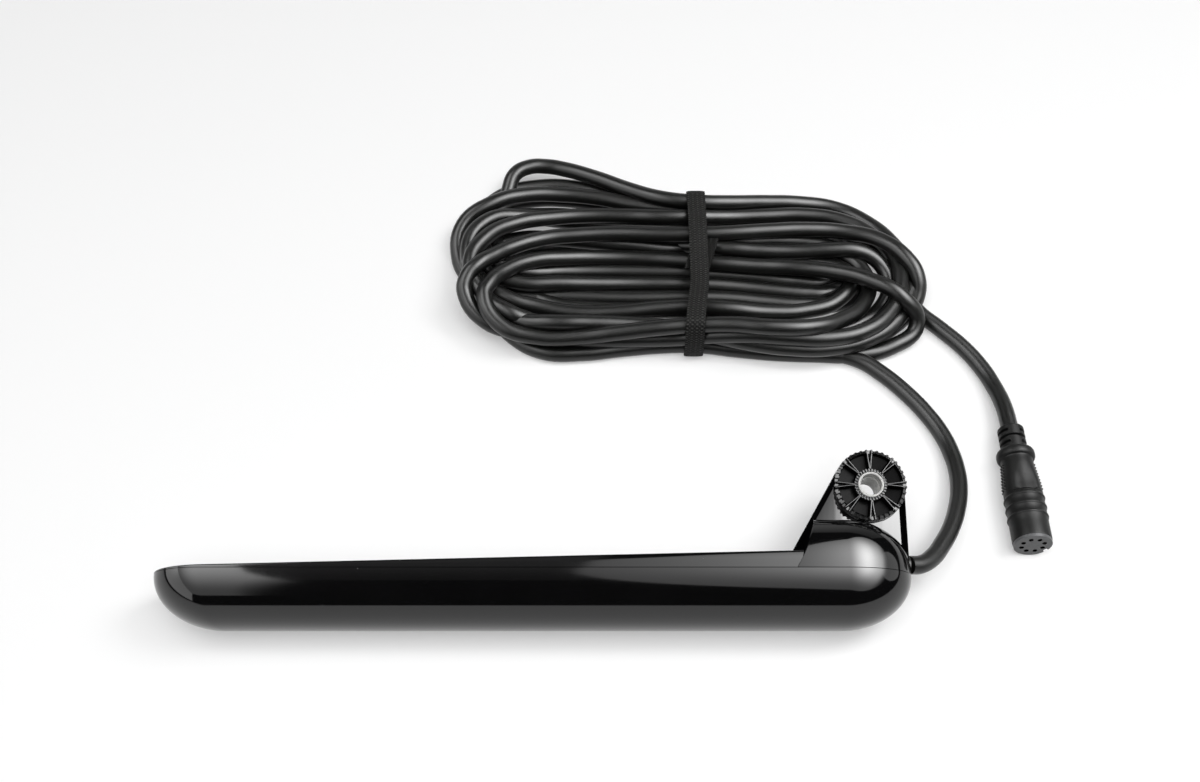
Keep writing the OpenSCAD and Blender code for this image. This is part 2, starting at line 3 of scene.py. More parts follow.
import bpy
from bpy.props import FloatProperty, FloatVectorProperty, PointerProperty
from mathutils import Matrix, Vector


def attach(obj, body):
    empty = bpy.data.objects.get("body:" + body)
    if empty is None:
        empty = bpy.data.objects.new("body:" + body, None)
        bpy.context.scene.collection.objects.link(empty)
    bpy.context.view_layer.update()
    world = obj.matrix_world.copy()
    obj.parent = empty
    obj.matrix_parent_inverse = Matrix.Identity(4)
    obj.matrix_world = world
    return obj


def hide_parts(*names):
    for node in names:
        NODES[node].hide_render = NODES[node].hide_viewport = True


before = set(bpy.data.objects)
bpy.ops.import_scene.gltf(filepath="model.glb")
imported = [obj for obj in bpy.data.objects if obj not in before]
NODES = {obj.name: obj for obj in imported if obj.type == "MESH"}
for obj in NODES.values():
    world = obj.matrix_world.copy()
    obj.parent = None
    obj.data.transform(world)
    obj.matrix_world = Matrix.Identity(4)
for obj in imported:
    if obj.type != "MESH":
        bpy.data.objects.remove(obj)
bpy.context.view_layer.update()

bl_info = {
    "name": "Sonar transducer",
    "version": (1, 0, 0),
    "blender": (4, 5, 0),
    "location": "View3D > Sidebar > Transducer",
    "description": "Dresses the packed sonar transducer with its moulded shells, tied cable and plug",
    "category": "Object",
}

MM = 0.001


# Sizes, in millimetres, as the part's source gives them

LEAN = radians(18)
AXIS_H = 18.8
MID_Y = 12.854
HALF_W = 18.8
KEEL = 18.8
WALL = 2.2
NOSE_X, TIP_X = 132.5, -132.5
NOSE_RUN, TIP_RUN = 25.0, 26.0
NOSE_PLAN, TIP_PLAN = 24.0, 20.0
DOME_H, DOME_TOP_W = 20.2, 18.4
DOME_POWER = 1 / 1.2
DOME_ANGLE = acos((DOME_TOP_W / (2 * HALF_W)) ** 1.2)
DECK_TIP_H, DECK_PROW_H = 0.6, 5.9
PROW_X, PROW_R = 89.5, 74.0
PIVOT_X, PIVOT_H = 119.0, 31.5
EAR_W, WEB_T, FLANGE_W, FLANGE_T = 16.0, 5.0, 14.0, 1.6
BOSS_R, BOSS_W = 12.7, 7.0
FLANGE_R = BOSS_R - 0.05
RATCHET_T = 4.5
SLEEVE_R, PIVOT_R, MOUTH_R, MOUTH_DEPTH = 4.6, 3.2, 3.7, 4.0
EXIT_H, GROMMET_R = 4.1, 3.8
PLUG_TAIL, PLUG_LEN = (181.5, 57.1, 7.6), 51.0
CONTACT_COUNT, CONTACT_RING_R, SOCKET_LEN = 8, 4.15, 11.8
STRAP_X = 63.0

# Sizes, in millimetres, that only the visual model has

SEAM = 0.14
LIP = 0.12
DECK_END = 99.0
PROW_CORNER = 0.7
SLEEVE_BORE = SLEEVE_R + 0.07
RATCHET_BORE, HUB_R, RIM_R = 4.68, 5.75, BOSS_R - 1.3
HUB_TEETH, RIM_TEETH, SPOKES = 32, 40, 8
RIDGE, RIDGE_TOP = 0.33, 0.53
RELIEF_R, NECK_R, PLUG_R = 5.0, 6.0, 7.2
GRIP_FROM, GRIP_TO = 14.9, 30.6
TAIL_W, TAIL_T = 10.5, 0.45
TAIL_TOP, TAIL_FOOT = Vector((145.2, 18.7)), Vector((130.2, 17.2))

# Camera, in metres and radians

CAMERA_PLACE, CAMERA_PITCH, SENSOR = (0.02345, -0.2553, 0.47111), radians(35.5), 36

# Cable's middle line from the nose through the hank to the plug, in millimetres
CABLE_ROUTE = (
    (132.4, -8.9, 20.1), (136.9, -7.6, 18.3), (141.9, -3.6, 16.2), (146.6, 2.8, 14.1), (151.5, 11.2, 11.8),
    (155.3, 20.4, 9.6), (157.8, 29.6, 7.6), (158.8, 38.8, 5.8), (158.2, 48.1, 4.4), (155.9, 57.5, 3.6),
    (151.4, 67.2, 3.3), (144.8, 77, 3.3), (136, 87, 3.3), (127, 94, 3.3), (109.2, 98.8, 3.3), (94.6, 105, 3.3),
    (80, 111.6, 3.6), (65.1, 116.7, 4), (49.7, 118.9, 3.8), (33.7, 119.4, 3.3), (17.8, 120.2, 3.3), (2.5, 123.4, 3.3),
    (-10.4, 132.7, 3.3), (-22.2, 143.3, 3.3), (-29.6, 157.1, 3.3), (-27.8, 172.4, 3.3), (-18, 184.3, 3.3),
    (-3, 188.9, 3.3), (12.9, 188.3, 3.3), (28.2, 183.8, 3.3), (43.4, 178.9, 3.5), (58.5, 173.8, 3.9),
    (73.5, 168.8, 3.7), (88.9, 165.6, 3.3), (104.7, 163.2, 3.3), (112.4, 161.1, 3.3), (119.7, 158, 3.3),
    (125.6, 153.3, 3.3), (127.4, 146.5, 3.3), (118.5, 135.4, 3.3), (102.9, 134.9, 3.3), (87.1, 137.2, 3.3),
    (71.3, 138.4, 3.6), (55.6, 139.1, 3.8), (39.7, 139.9, 3.3), (23.7, 140, 3.4), (7.9, 138.7, 4.9),
    (-7.5, 136.2, 8.1), (-21.3, 139.1, 12.9), (-25.3, 152.7, 12.3), (-16, 164.2, 9.6), (-1.4, 169.4, 6),
    (14.3, 170.6, 3.9), (30.2, 169, 3.3), (45.7, 165.5, 3.6), (61.3, 162.5, 4), (76.9, 160.8, 3.6),
    (92.8, 159.3, 3.3), (108.5, 156.4, 3.3), (122.7, 149.6, 3.3), (128.3, 136.6, 3.3), (117, 128.5, 3.3),
    (109.1, 128.2, 3.3), (101.2, 128.9, 3.3), (85.3, 131, 3.3), (69.6, 132.2, 3.9), (53.9, 132.4, 4.3),
    (38, 132.4, 4.5), (22.2, 131.1, 6.1), (6.4, 129.5, 8.4), (-9.4, 128.6, 9.9), (-23.1, 134.4, 10.7),
    (-24.5, 147.9, 7.8), (-11.3, 154, 8), (4.5, 153.3, 9), (20.5, 152.3, 8.3), (36.4, 151.4, 7.5), (52.1, 150.7, 5.9),
    (67.2, 152.4, 4.2), (82.2, 154.2, 3.4), (98, 152.8, 3.3), (113.5, 148.8, 3.3), (121, 146.2, 3.3),
    (128.5, 143.7, 3.3), (134.3, 139.3, 3.3), (135, 132.7, 3.3), (123.8, 123.3, 3.3), (108, 122.1, 3.3),
    (92.1, 123.5, 3.3), (76.2, 125, 3.8), (60.3, 125.4, 4), (44.4, 125.4, 3.6), (28.4, 125.7, 3.3),
    (12.4, 126.4, 3.3), (4.4, 126.6, 3.3), (-3.5, 126.1, 3.3), (-18.3, 130.1, 3.3), (-25.5, 141.6, 3.3),
    (-14.1, 150.5, 3.3), (1.5, 153.8, 3.3), (17.4, 154.9, 3.3), (33.4, 155.1, 3.3), (49, 154.4, 4),
    (62.3, 150.8, 7.6), (74.7, 146.4, 11.1), (89.6, 144.8, 11.2), (105.6, 144.2, 11.4), (121.4, 143.6, 13.2),
    (129.3, 143.3, 13.2), (136.5, 141.7, 11.2), (141.7, 137.1, 8.5), (143.4, 130.2, 6.8), (137.2, 116.3, 6.1),
    (124.5, 107.2, 7.3), (109, 104.1, 8.7), (93.2, 105.2, 8.9), (77.7, 108.4, 8.3), (63.2, 111.4, 6.6),
    (48.5, 111.3, 6), (33.3, 107.9, 8), (17.6, 105.4, 9.8), (1.8, 105.6, 10.7), (-5.6, 107, 12.6), (-12.7, 108.8, 15),
    (-24.1, 118.6, 14.9), (-29.8, 132.4, 17.9), (-23.5, 145.9, 18.8), (-11.4, 155.8, 16.3), (3.2, 161.3, 13.4),
    (18.8, 164, 11.8), (34.7, 163.5, 12.2), (50.2, 161.5, 13.9), (64.6, 162, 13.1), (78.7, 164.7, 10.1),
    (94.3, 166.3, 9.1), (110.3, 166.9, 8.9), (125.7, 163.8, 9.1), (138.8, 155, 9.2), (146.4, 141.4, 10.3),
    (146.9, 125.9, 12.3), (141.1, 111.3, 13.6), (130.1, 100.1, 15), (115.2, 95.3, 15.7), (99.2, 95.2, 16.2),
    (83.4, 96.7, 15.9), (68.7, 98.4, 13.3), (54.8, 99.8, 9.8), (39.6, 99.9, 9), (23.7, 100.2, 8.1), (8, 102.1, 5.7),
    (-7.5, 105, 6.6), (-22.5, 107.6, 10.6), (-31.3, 118.1, 15.9), (-30.3, 124.4, 19.3), (-25.7, 129.7, 20.9),
    (-20.1, 135.1, 19.6), (-14.4, 140.3, 17.8), (-0.8, 147.9, 15.3), (14.8, 150.9, 14.3), (30.8, 152.2, 13.7),
    (46.7, 151.8, 13.6), (62.5, 150.8, 14.9), (78.3, 151, 15.5), (94.2, 152.6, 15), (110.1, 153.9, 14.3),
    (126, 153, 13.8), (140.6, 147.3, 15.1), (150.9, 135.7, 15.3), (154.1, 129.4, 12.4), (154.2, 123.7, 7.7),
    (150.7, 118.2, 4.2), (145.5, 112.4, 3.4), (132.5, 103.4, 3.9), (117.4, 99.2, 6.5), (101.7, 98.3, 8.1),
    (85.9, 100.5, 7.7), (70.4, 103.8, 6.2), (55, 105.9, 4.7), (39.2, 105.5, 3.5), (23.3, 105.8, 3.3),
    (7.4, 107.6, 3.3), (-7.7, 112.2, 4), (-18.2, 123.3, 6.3), (-21, 138.5, 8.2), (-20.5, 146.3, 9.4),
    (-19.9, 154, 8.6), (-18.6, 169, 4), (-17.6, 176.7, 4.3), (-16.3, 183.8, 7.1), (-13.7, 190.1, 9.8),
    (-7.7, 194, 10.3), (-0.1, 195.1, 9.6), (7.5, 193.6, 9.5), (22, 187, 10.6), (35.6, 178.9, 12.2),
    (49.1, 171.5, 14.7), (64.1, 169, 14.9), (79.6, 170.4, 12.9), (94.7, 173.9, 9.3), (110, 176.7, 5.7),
    (125.6, 175.4, 3.8), (138.3, 166.6, 4.4), (147.1, 153.5, 6.4), (152.2, 138.7, 7.8), (150.4, 123.1, 8.7),
    (143.2, 109.1, 8.7), (130.6, 99.5, 9.2), (115.5, 94.7, 10), (99.6, 94.2, 10.6), (83.9, 96.6, 10.6),
    (68.5, 100.1, 11.2), (53, 102.6, 12.7), (37.1, 103.7, 13.5), (21.3, 103.5, 14.9), (5.4, 103.1, 15.8),
    (-9.4, 106.7, 12.5), (-21.2, 116.5, 9), (-28.7, 130.3, 8.2), (-32.4, 145.8, 8.6), (-29.6, 160.9, 8.3),
    (-19, 172.5, 7.8), (-4.8, 178.8, 5.7), (11, 180.2, 3.9), (26.7, 177.9, 3.3), (42, 173.2, 3.4), (55.9, 167.2, 4.1),
    (65.3, 157.3, 5), (72.6, 146.9, 5.9), (84.8, 143.6, 5.7), (100.6, 144.2, 5.2), (116.2, 141.8, 6.8),
    (127.3, 132.6, 8.7), (121.2, 120.3, 8.9), (106.7, 114.2, 9.3), (90.9, 112.6, 10.4), (75.7, 112.9, 12.3),
    (61.5, 114.6, 11.4), (46.9, 114.5, 10.5), (31.2, 113.4, 9.4), (15.4, 114.2, 7.9), (-0.4, 116.7, 8.4),
    (-15.6, 120.2, 11.2), (-27.2, 130.2, 12.9), (-31.2, 144.8, 15.4), (-23.1, 157.1, 16.8), (-9.3, 162.9, 12.5),
    (5.8, 164.9, 7.8), (21.7, 164.6, 5.9), (37.5, 162.4, 6.6), (52.8, 159.5, 8.6), (67.1, 155.1, 9.7),
    (81.4, 152.2, 9.3), (97.2, 152.5, 9), (113, 150.9, 8.7), (126.9, 143.9, 8.7), (134, 130.4, 9.5),
    (130.4, 115.6, 12.1), (120.2, 104.3, 16.3), (107, 96.9, 20.9), (91.6, 95.7, 22.2), (76.2, 98.4, 20.5),
    (61.3, 99.9, 18.1), (45.8, 99.2, 17.1), (30.1, 98.6, 14.9), (14.4, 98.4, 12.3), (-1.5, 99.1, 11.5),
    (-16.3, 103.1, 14.1), (-23.2, 114.9, 18.2), (-20.8, 121.9, 18.7), (-16.5, 128.2, 17.1), (-4.4, 137.6, 13.4),
    (10.3, 142.3, 9.6), (25.8, 144.6, 7), (41.7, 144.4, 6.7), (57.4, 142, 8.4), (72.8, 139, 9.9), (88.6, 137.6, 9.8),
    (104.4, 136.4, 10.3), (119.5, 132, 13.1), (132.9, 124.3, 16.9), (145.5, 115.5, 16.6), (152.2, 108.8, 7),
    (141.5, 100.1, 3.7), (126.1, 96.3, 3.3), (110.2, 96.5, 3.3), (94.3, 97.2, 3.3), (78.5, 98.7, 3.7),
    (63.4, 100.5, 4.1), (48.2, 100.8, 3.5), (32.4, 99.3, 3.3), (16.6, 97.2, 3.3), (0.7, 97.8, 3.3),
    (-12.3, 105.9, 3.3), (-21.5, 119, 3.3), (-29.6, 132.7, 3.3), (-36.3, 147, 4.4), (-34.8, 160.7, 9.6),
    (-22.8, 169.6, 13.4), (-8.3, 175.9, 12), (7.3, 178, 9.8), (23.1, 176.5, 9.3), (38.7, 172.8, 9), (54.2, 170, 9.4),
    (69.8, 169.9, 8.4), (85.4, 171, 5.8), (101.1, 170.5, 3.6), (116.7, 167, 3.3), (130.8, 159.7, 3.3),
    (141.9, 148.5, 3.3), (148.6, 134.2, 3.3), (154.1, 119.3, 3.3), (162.5, 109.5, 3.3), (170, 100.5, 3.3),
    (176, 90.5, 3.3), (179.6, 80, 4), (181.2, 69, 6.2), (181.5, 57, 7.6),
)

# Strap's inner outline round the hank, as (y, z): from below round the front, over the top and down the back
STRAP_LOOP = (
    (138.5, 1.2), (119.5, 1.2), (103.5, 1.2), (99.9, 1.3), (97.7, 2.3), (96.7, 3.9), (95.9, 8), (95.7, 12.5),
    (96.2, 17), (96.9, 19.9), (98.3, 21.6), (100.5, 22), (105.5, 21.6), (111.5, 20.7), (119.5, 19.1), (127.5, 17.7),
    (135.5, 18.1), (143.5, 19.2), (151.5, 19.6), (159.5, 19.2), (165.5, 18.8), (169.5, 18.5), (171.7, 17.4),
    (172.9, 15.1), (174.5, 10.5), (176, 5.9), (176.3, 4.1), (175.5, 2.5), (173.5, 1.3), (170.5, 1.2), (155.5, 1.2),
)


# Helpers for modelling

def start(*pieces):
    """Leaves edit mode and selects only the given pieces, the first of them active."""
    if bpy.context.object and bpy.context.object.mode != "OBJECT":
        bpy.ops.object.mode_set(mode="OBJECT")
    bpy.ops.object.select_all(action="DESELECT")
    for piece in pieces:
        piece.select_set(True)
    if pieces:
        bpy.context.view_layer.objects.active = pieces[0]


def named(name):
    """Names the active object and its mesh."""
    piece = bpy.context.object
    piece.name = piece.data.name = name
    return piece


def edit(*steps):
    """Runs edit mode operators on all of the active mesh."""
    bpy.ops.object.mode_set(mode="EDIT")
    bpy.ops.mesh.select_all(action="SELECT")
    for step in steps:
        step()
    bpy.ops.object.mode_set(mode="OBJECT")


def close_up():
    """Merges doubles, drops empty faces and turns the faces outwards."""
    edit(lambda: bpy.ops.mesh.remove_doubles(threshold=2e-6),
         lambda: bpy.ops.mesh.dissolve_degenerate(threshold=1e-6),
         lambda: bpy.ops.mesh.select_all(action="SELECT"),
         lambda: bpy.ops.mesh.normals_make_consistent(inside=False))


def cap_holes():
    """Closes every open edge loop of the active mesh with one face each."""
    bpy.ops.object.mode_set(mode="EDIT")
    bpy.ops.mesh.select_mode(type="EDGE")
    bpy.ops.mesh.select_all(action="DESELECT")
    bpy.ops.mesh.select_non_manifold(extend=False, use_wire=False, use_boundary=True,
                                     use_multi_face=False, use_non_contiguous=False, use_verts=False)
    bpy.ops.mesh.edge_face_add()
    bpy.ops.mesh.select_mode(type="VERT")
    bpy.ops.object.mode_set(mode="OBJECT")


def loft(name, rings, caps=False):
    """Skin over closed rings of points in millimetres: a grid primitive whose rows are laid on them."""
    start()
    bpy.ops.mesh.primitive_grid_add(x_subdivisions=len(rings[0]), y_subdivisions=len(rings) - 1, size=1)
    piece = named(name)
    places = [c * MM for ring in rings for point in (*ring, ring[0]) for c in point]
    piece.data.vertices.foreach_set("co", places)
    piece.data.update()
    close_up()
    if caps:
        cap_holes()
        close_up()
    return piece


def turned(name, profile, columns, dent=None):
    """Turned piece about its own Z from (distance along, radius) pairs, with dents given by place and angle."""
    rings = []
    for s, r in profile:
        ring = []
        for i in range(columns):
            t = 2 * pi * i / columns
            q = r - (dent(s, t) if dent else 0)
            ring.append((q * cos(t), q * sin(t), s))
        rings.append(ring)
    return loft(name, rings)


def plate(name, outline, low, high, bevel):
    """Flat plate across the body: a filled outline in its own X and Y, drawn out along Z and rounded."""
    start()
    bpy.ops.mesh.primitive_circle_add(vertices=len(outline), radius=0.01, fill_type="NGON")
    piece = named(name)
    for vertex, (x, y) in zip(piece.data.vertices, outline):
        vertex.co = (x * MM, y * MM, low * MM)
    piece.data.update()
    edit(lambda: bpy.ops.mesh.extrude_region_move(TRANSFORM_OT_translate={"value": (0, 0, (high - low) * MM)}),
         lambda: bpy.ops.mesh.select_all(action="SELECT"),
         lambda: bpy.ops.mesh.normals_make_consistent(inside=False))
    rounded(piece, bevel)
    return piece


def rounded(piece, width):
    """Rounds the sharp edges of a piece with a bevel that is applied."""
    start(piece)
    bevel = piece.modifiers.new("edge", "BEVEL")
    bevel.width = width * MM
    bevel.segments = 3
    bevel.limit_method = "ANGLE"
    bevel.angle_limit = radians(40)
    bevel.use_clamp_overlap = True
    bpy.ops.object.modifier_apply(modifier=bevel.name)


def cut(piece, tool):
    """Takes a tool's shape out of a piece and deletes the tool."""
    start(piece)
    boolean = piece.modifiers.new("cut", "BOOLEAN")
    boolean.operation = "DIFFERENCE"
    boolean.solver = "EXACT"
    boolean.object = tool
    bpy.ops.object.modifier_apply(modifier=boolean.name)
    bpy.data.objects.remove(tool)


def box_tool(low, high):
    """Box to cut with, between two corners."""
    start()
    bpy.ops.mesh.primitive_cube_add(size=1)
    tool = named("tool")
    for vertex in tool.data.vertices:
        vertex.co = [(a if c < 0 else b) * MM for c, a, b in zip(vertex.co, low, high)]
    return tool


def round_tool(columns, radius, depth, place, turn=(0, 0, 0)):
    """Cylinder to cut with."""
    start()
    bpy.ops.mesh.primitive_cylinder_add(vertices=columns, radius=radius * MM, depth=depth * MM,
                                        location=[c * MM for c in place], rotation=turn)
    return named("tool")


def joined(name, pieces):
    """Makes one piece of several."""
    start(*pieces)
    bpy.ops.object.join()
    return named(name)


def placed(piece, location, rotation=(0, 0, 0)):
    """Moves and turns a piece, and puts that into its mesh."""
    start(piece)
    piece.location = [c * MM for c in location]
    piece.rotation_euler = rotation
    bpy.ops.object.transform_apply(location=True, rotation=True, scale=True)


def laid(piece, edge):
    """Lays a piece of the body down from the body's own frame to the way the body lies, and smooths it."""
    placed(piece, (0, -MID_Y, AXIS_H), (LEAN, 0, 0))
    smooth(piece, edge)


def both_ends(half):
    """Profile of one end and the same mirrored."""
    return half + [(-z, r) for z, r in reversed(half)]


def smooth(piece, angle):
    """Shades a piece smooth but for its edges sharper than an angle."""
    start(piece)
    bpy.ops.object.shade_smooth_by_angle(angle=radians(angle))


def dress(piece, finishes, slot, *nodes):
    """Gives a piece its finishes and its body and hides the nodes that it stands for; the slot is not used."""
    for finish in finishes:
        piece.data.materials.append(finish)
    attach(piece, "root")
    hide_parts(*nodes)


def ease(t):
    """Smooth step from 0 to 1."""
    t = min(1.0, max(0.0, t))
    return t * t * (3 - 2 * t)


# Finishes

def material(name):
    """New material with its node tree and the inputs of its shader."""
    made = bpy.data.materials.new(name)
    made.use_nodes = True
    return made, made.node_tree, made.node_tree.nodes["Principled BSDF"].inputs


def add_node(tree, kind, values=(), output=0, **settings):
    """Adds a node, links or sets its inputs, given in order or by name, and returns one of its outputs."""
    made = tree.nodes.new("ShaderNode" + kind)
    for key, value in settings.items():
        setattr(made, key, value)
    for key, value in values.items() if isinstance(values, dict) else enumerate(values):
        if isinstance(value, bpy.types.NodeSocket):
            tree.links.new(value, made.inputs[key])
        else:
            made.inputs[key].default_value = value
    return made.outputs[output]


def maths(tree, operation, *values):
    return add_node(tree, "Math", values, operation=operation)


def noise(tree, coords, scale, detail=3.0):
    return add_node(tree, "TexNoise", {"Vector": coords, "Scale": scale, "Detail": detail, "Roughness": 0.55}, "Fac")


def spread(tree, value, low, high, start_at=0.3, end_at=0.7):
    """Maps a pattern between two values."""
    return add_node(tree, "MapRange", {"Value": value, "From Min": start_at, "From Max": end_at,
                                       "To Min": low, "To Max": high}, "Result")


def tint(tree, value, dark, light):
    """Ramp between two colours."""
    node = tree.nodes.new("ShaderNodeValToRGB")
    for element, place, colour in zip(node.color_ramp.elements, (0.3, 0.7), (dark, light)):
        element.position = place
        element.color = (*colour, 1)
    tree.links.new(value, node.inputs["Fac"])
    return node.outputs["Color"]


def bump(tree, shader, height, strength, distance):
    values = {"Strength": strength, "Distance": distance * MM, "Height": height}
    tree.links.new(add_node(tree, "Bump", values, "Normal"), shader["Normal"])


def plain_finish(name, colour, rough, vary=0.25, scale=180, grain=2500, depth=0.02, metal=0.0, strength=0.3,
                 mirror=0.5):
    """Moulded, cast or drawn surface: two shades, uneven gloss and a fine grain."""
    made, tree, shader = material(name)
    coords = add_node(tree, "TexCoord", output="Object")
    fine = noise(tree, coords, grain, 2.0)
    dark = [c * (1 - vary) for c in colour]
    light = [min(1, c * (1 + vary)) for c in colour]
    tree.links.new(tint(tree, noise(tree, coords, scale), dark, light), shader["Base Color"])
    tree.links.new(spread(tree, fine, rough * 0.88, min(1, rough * 1.12)), shader["Roughness"])
    bump(tree, shader, fine, strength, depth)
    shader["Metallic"].default_value = metal
    shader["Specular IOR Level"].default_value = mirror
    return made


def gloss_shell(name, colour):
    """Polished black moulding with faint unevenness and a little dust."""
    made, tree, shader = material(name)
    coords = add_node(tree, "TexCoord", output="Object")
    dark, light = [c * 0.75 for c in colour], [c * 1.2 for c in colour]
    tree.links.new(tint(tree, noise(tree, coords, 40), dark, light), shader["Base Color"])
    haze = noise(tree, coords, 90, 4.0)
    dust = add_node(tree, "TexVoronoi", {"Vector": coords, "Scale": 95}, "Distance", feature="F1")
    speck = maths(tree, "LESS_THAN", dust, 0.022)
    gloss = spread(tree, haze, 0.055, 0.085)
    tree.links.new(maths(tree, "MULTIPLY_ADD", speck, 0.5, gloss), shader["Roughness"])
    bump(tree, shader, haze, 0.05, 0.04)
    shader["IOR"].default_value = 1.52
    return made


def woven_strap(name, colour):
    """Plain weave of flat black yarn along the strap's own length and width, the raised yarn painted lighter as
    painted highlight and the dips between painted darker as painted shade.
    """
    made, tree, shader = material(name)
    uv = add_node(tree, "TexCoord", output="UV")
    waves = []
    for axis, yarns in (("X", 6.5), ("Y", 150.0)):
        along = add_node(tree, "SeparateXYZ", (uv,), axis)
        waves.append(maths(tree, "SINE", maths(tree, "MULTIPLY", along, yarns * 2 * pi)))
    weave = maths(tree, "MULTIPLY_ADD", *waves, maths(tree, "MULTIPLY", waves[1], 0.35))
    shade = spread(tree, weave, 0.0, 1.0, -0.9, 1.7)
    # Colour follows the weave: painted highlight on the raised yarn and painted shade in the dips between.
    dark, light = [c * 0.15 for c in colour], [c * 8 for c in colour]
    tree.links.new(tint(tree, shade, dark, light), shader["Base Color"])
    fuzz = noise(tree, add_node(tree, "TexCoord", output="Object"), 1500)
    tree.links.new(spread(tree, fuzz, 0.55, 0.8), shader["Roughness"])
    bump(tree, shader, shade, 0.8, 0.35)
    shader["Specular IOR Level"].default_value = 0.12
    return made


# Shapes of the shells, in the body's own frame

def plan(nose, tip, nose_round, tip_round, w, y, ends=44, run=14):
    """Outline seen from the deck: round nose, straight side, round tip, straight side."""
    front, back = nose - nose_round, tip + tip_round
    points = []
    for side, middle, r, other in ((-1, front, nose_round, back), (1, back, tip_round, front)):
        for i in range(ends + 1):
            f = side * pi / 2 + pi * i / ends
            points.append((middle + r * cos(f), y, w * sin(f)))
        points += [(middle + (other - middle) * i / run, y, -side * w) for i in range(1, run)]
    return points


def housing_ring(a, inset, trim=0.0):
    c = cos(a)
    return plan(NOSE_X - inset - trim - NOSE_RUN * (1 - c), TIP_X + inset + trim + TIP_RUN * (1 - c),
                NOSE_PLAN * c, TIP_PLAN * c, (HALF_W - inset - trim) * c, -(KEEL - inset) * sin(a))


def side_half_width(y):
    return HALF_W * max(0.0, 1 - (max(0.0, y) / DOME_H) ** 2.4) ** (1 / 2.4)


def deck_height(x):
    return DECK_TIP_H + (DECK_PROW_H - DECK_TIP_H) * (x - TIP_X) / (PROW_X - TIP_X)


def deck_ring(share, drop, inset):
    """Outline of the deck at a share of its height less a drop, drawn in by an inset."""
    points = []
    for x, _, z in plan(DECK_END, TIP_X, 1.0, TIP_PLAN, 1.0, 0.0, 40, 40):
        y = deck_height(min(x, DECK_END)) * share - drop
        w = side_half_width(y) - inset - 0.02
        tip = max(0.0, min(1.0, (TIP_X + TIP_PLAN - x) / TIP_PLAN))
        points.append((x + inset * tip if x < 0 else x, y, w * z))
    return points


def prow_angle():
    across, up = PIVOT_X - PROW_X, PIVOT_H - DECK_PROW_H
    return atan2(up, across) + asin(FLANGE_R / hypot(across, up))


def dome_ring(y, inset):
    """Outline of the nose dome at one height: round nose, rounded corners and the prow's shallow arc."""
    ends, front = 64, 28
    w = side_half_width(y) - inset
    c = cos(asin(min(1.0, (max(0.0, y) / DOME_H) ** 1.2)))
    nose = NOSE_X - inset - NOSE_RUN * (1 - c)
    r = NOSE_PLAN * c
    foot = PROW_X + 0.3 + inset / sin(prow_angle()) + (y - DECK_PROW_H) / tan(prow_angle())
    edge = w - PROW_CORNER

    def prow(z):
        return foot + z * z / (2 * PROW_R) + 1.1 * (z / HALF_W) ** 8

    def corner(side):
        a, b, c = (Vector((x, z * side)) for x, z in ((prow(w) + PROW_CORNER, w), (prow(w), w), (prow(edge), edge)))
        turn = [a * (1 - t) ** 2 + b * 2 * t * (1 - t) + c * t * t for t in (0, 0.2, 0.4, 0.6, 0.8, 1)]
        return [(p.x, y, p.y) for p in turn]

    points = [(nose - r + r * cos(f), y, w * sin(f)) for f in (-pi / 2 + pi * i / ends for i in range(ends + 1))]
    points += corner(1)
    points += [(prow(z), y, z) for z in (edge * (1 - 2 * i / front) for i in range(1, front))]
    return points + corner(-1)[::-1]


def second_finish(piece, chosen):
    """Gives the faces that a test picks the second finish of the piece."""
    for face in piece.data.polygons:
        if chosen(face):
            face.material_index = 1


def bowed(piece, low, high, middle, radius):
    """Crowns both sides of a plate across its own X."""
    strips = 18
    start(piece)
    for i in range(1, strips):
        x = low + (high - low) * i / strips
        edit(lambda: bpy.ops.mesh.bisect(plane_co=(x * MM, 0, 0), plane_no=(1, 0, 0)))
    for vertex in piece.data.vertices:
        away = vertex.co.x / MM - middle
        vertex.co.z *= 1.7 - away * away / (radius * WEB_T)
    piece.data.update()


def build_lower_housing(finish):
    steps = 40
    rings = [housing_ring(pi / 2, 0)]
    rings += [housing_ring(pi / 2 * (1 - i / steps), 0) for i in range(steps)]
    rings += [housing_ring(0.006, 0), housing_ring(0, 0, SEAM)]
    rings += [housing_ring(pi / 2 * i / steps, WALL) for i in range(0, steps + 1, 2)]
    piece = loft("moulded_housing", rings)
    laid(piece, 30)
    dress(piece, [finish], "shell", "lower_housing")


def build_deck(finish):
    edge, turn = 0.62, 6
    rings = [deck_ring(0, 0, SEAM), deck_ring(0, -LIP, 0)]
    rings += [deck_ring(t, 0, 0) for t in (0.35, 0.5, edge)]
    for i in range(1, turn + 1):
        b = pi / 2 * i / turn
        rings.append(deck_ring(edge + (1 - edge) * sin(b) ** 1.6, 0, 0.42 * (1 - cos(b))))
    rings.append(deck_ring(1, 0, 1.2))
    piece = loft("deck_shell", rings, caps=True)
    cut(piece, box_tool((15, -5, -16.6), (120, 1.6, 16.6)))
    laid(piece, 30)
    dress(piece, [finish], "shell", "top_cover")


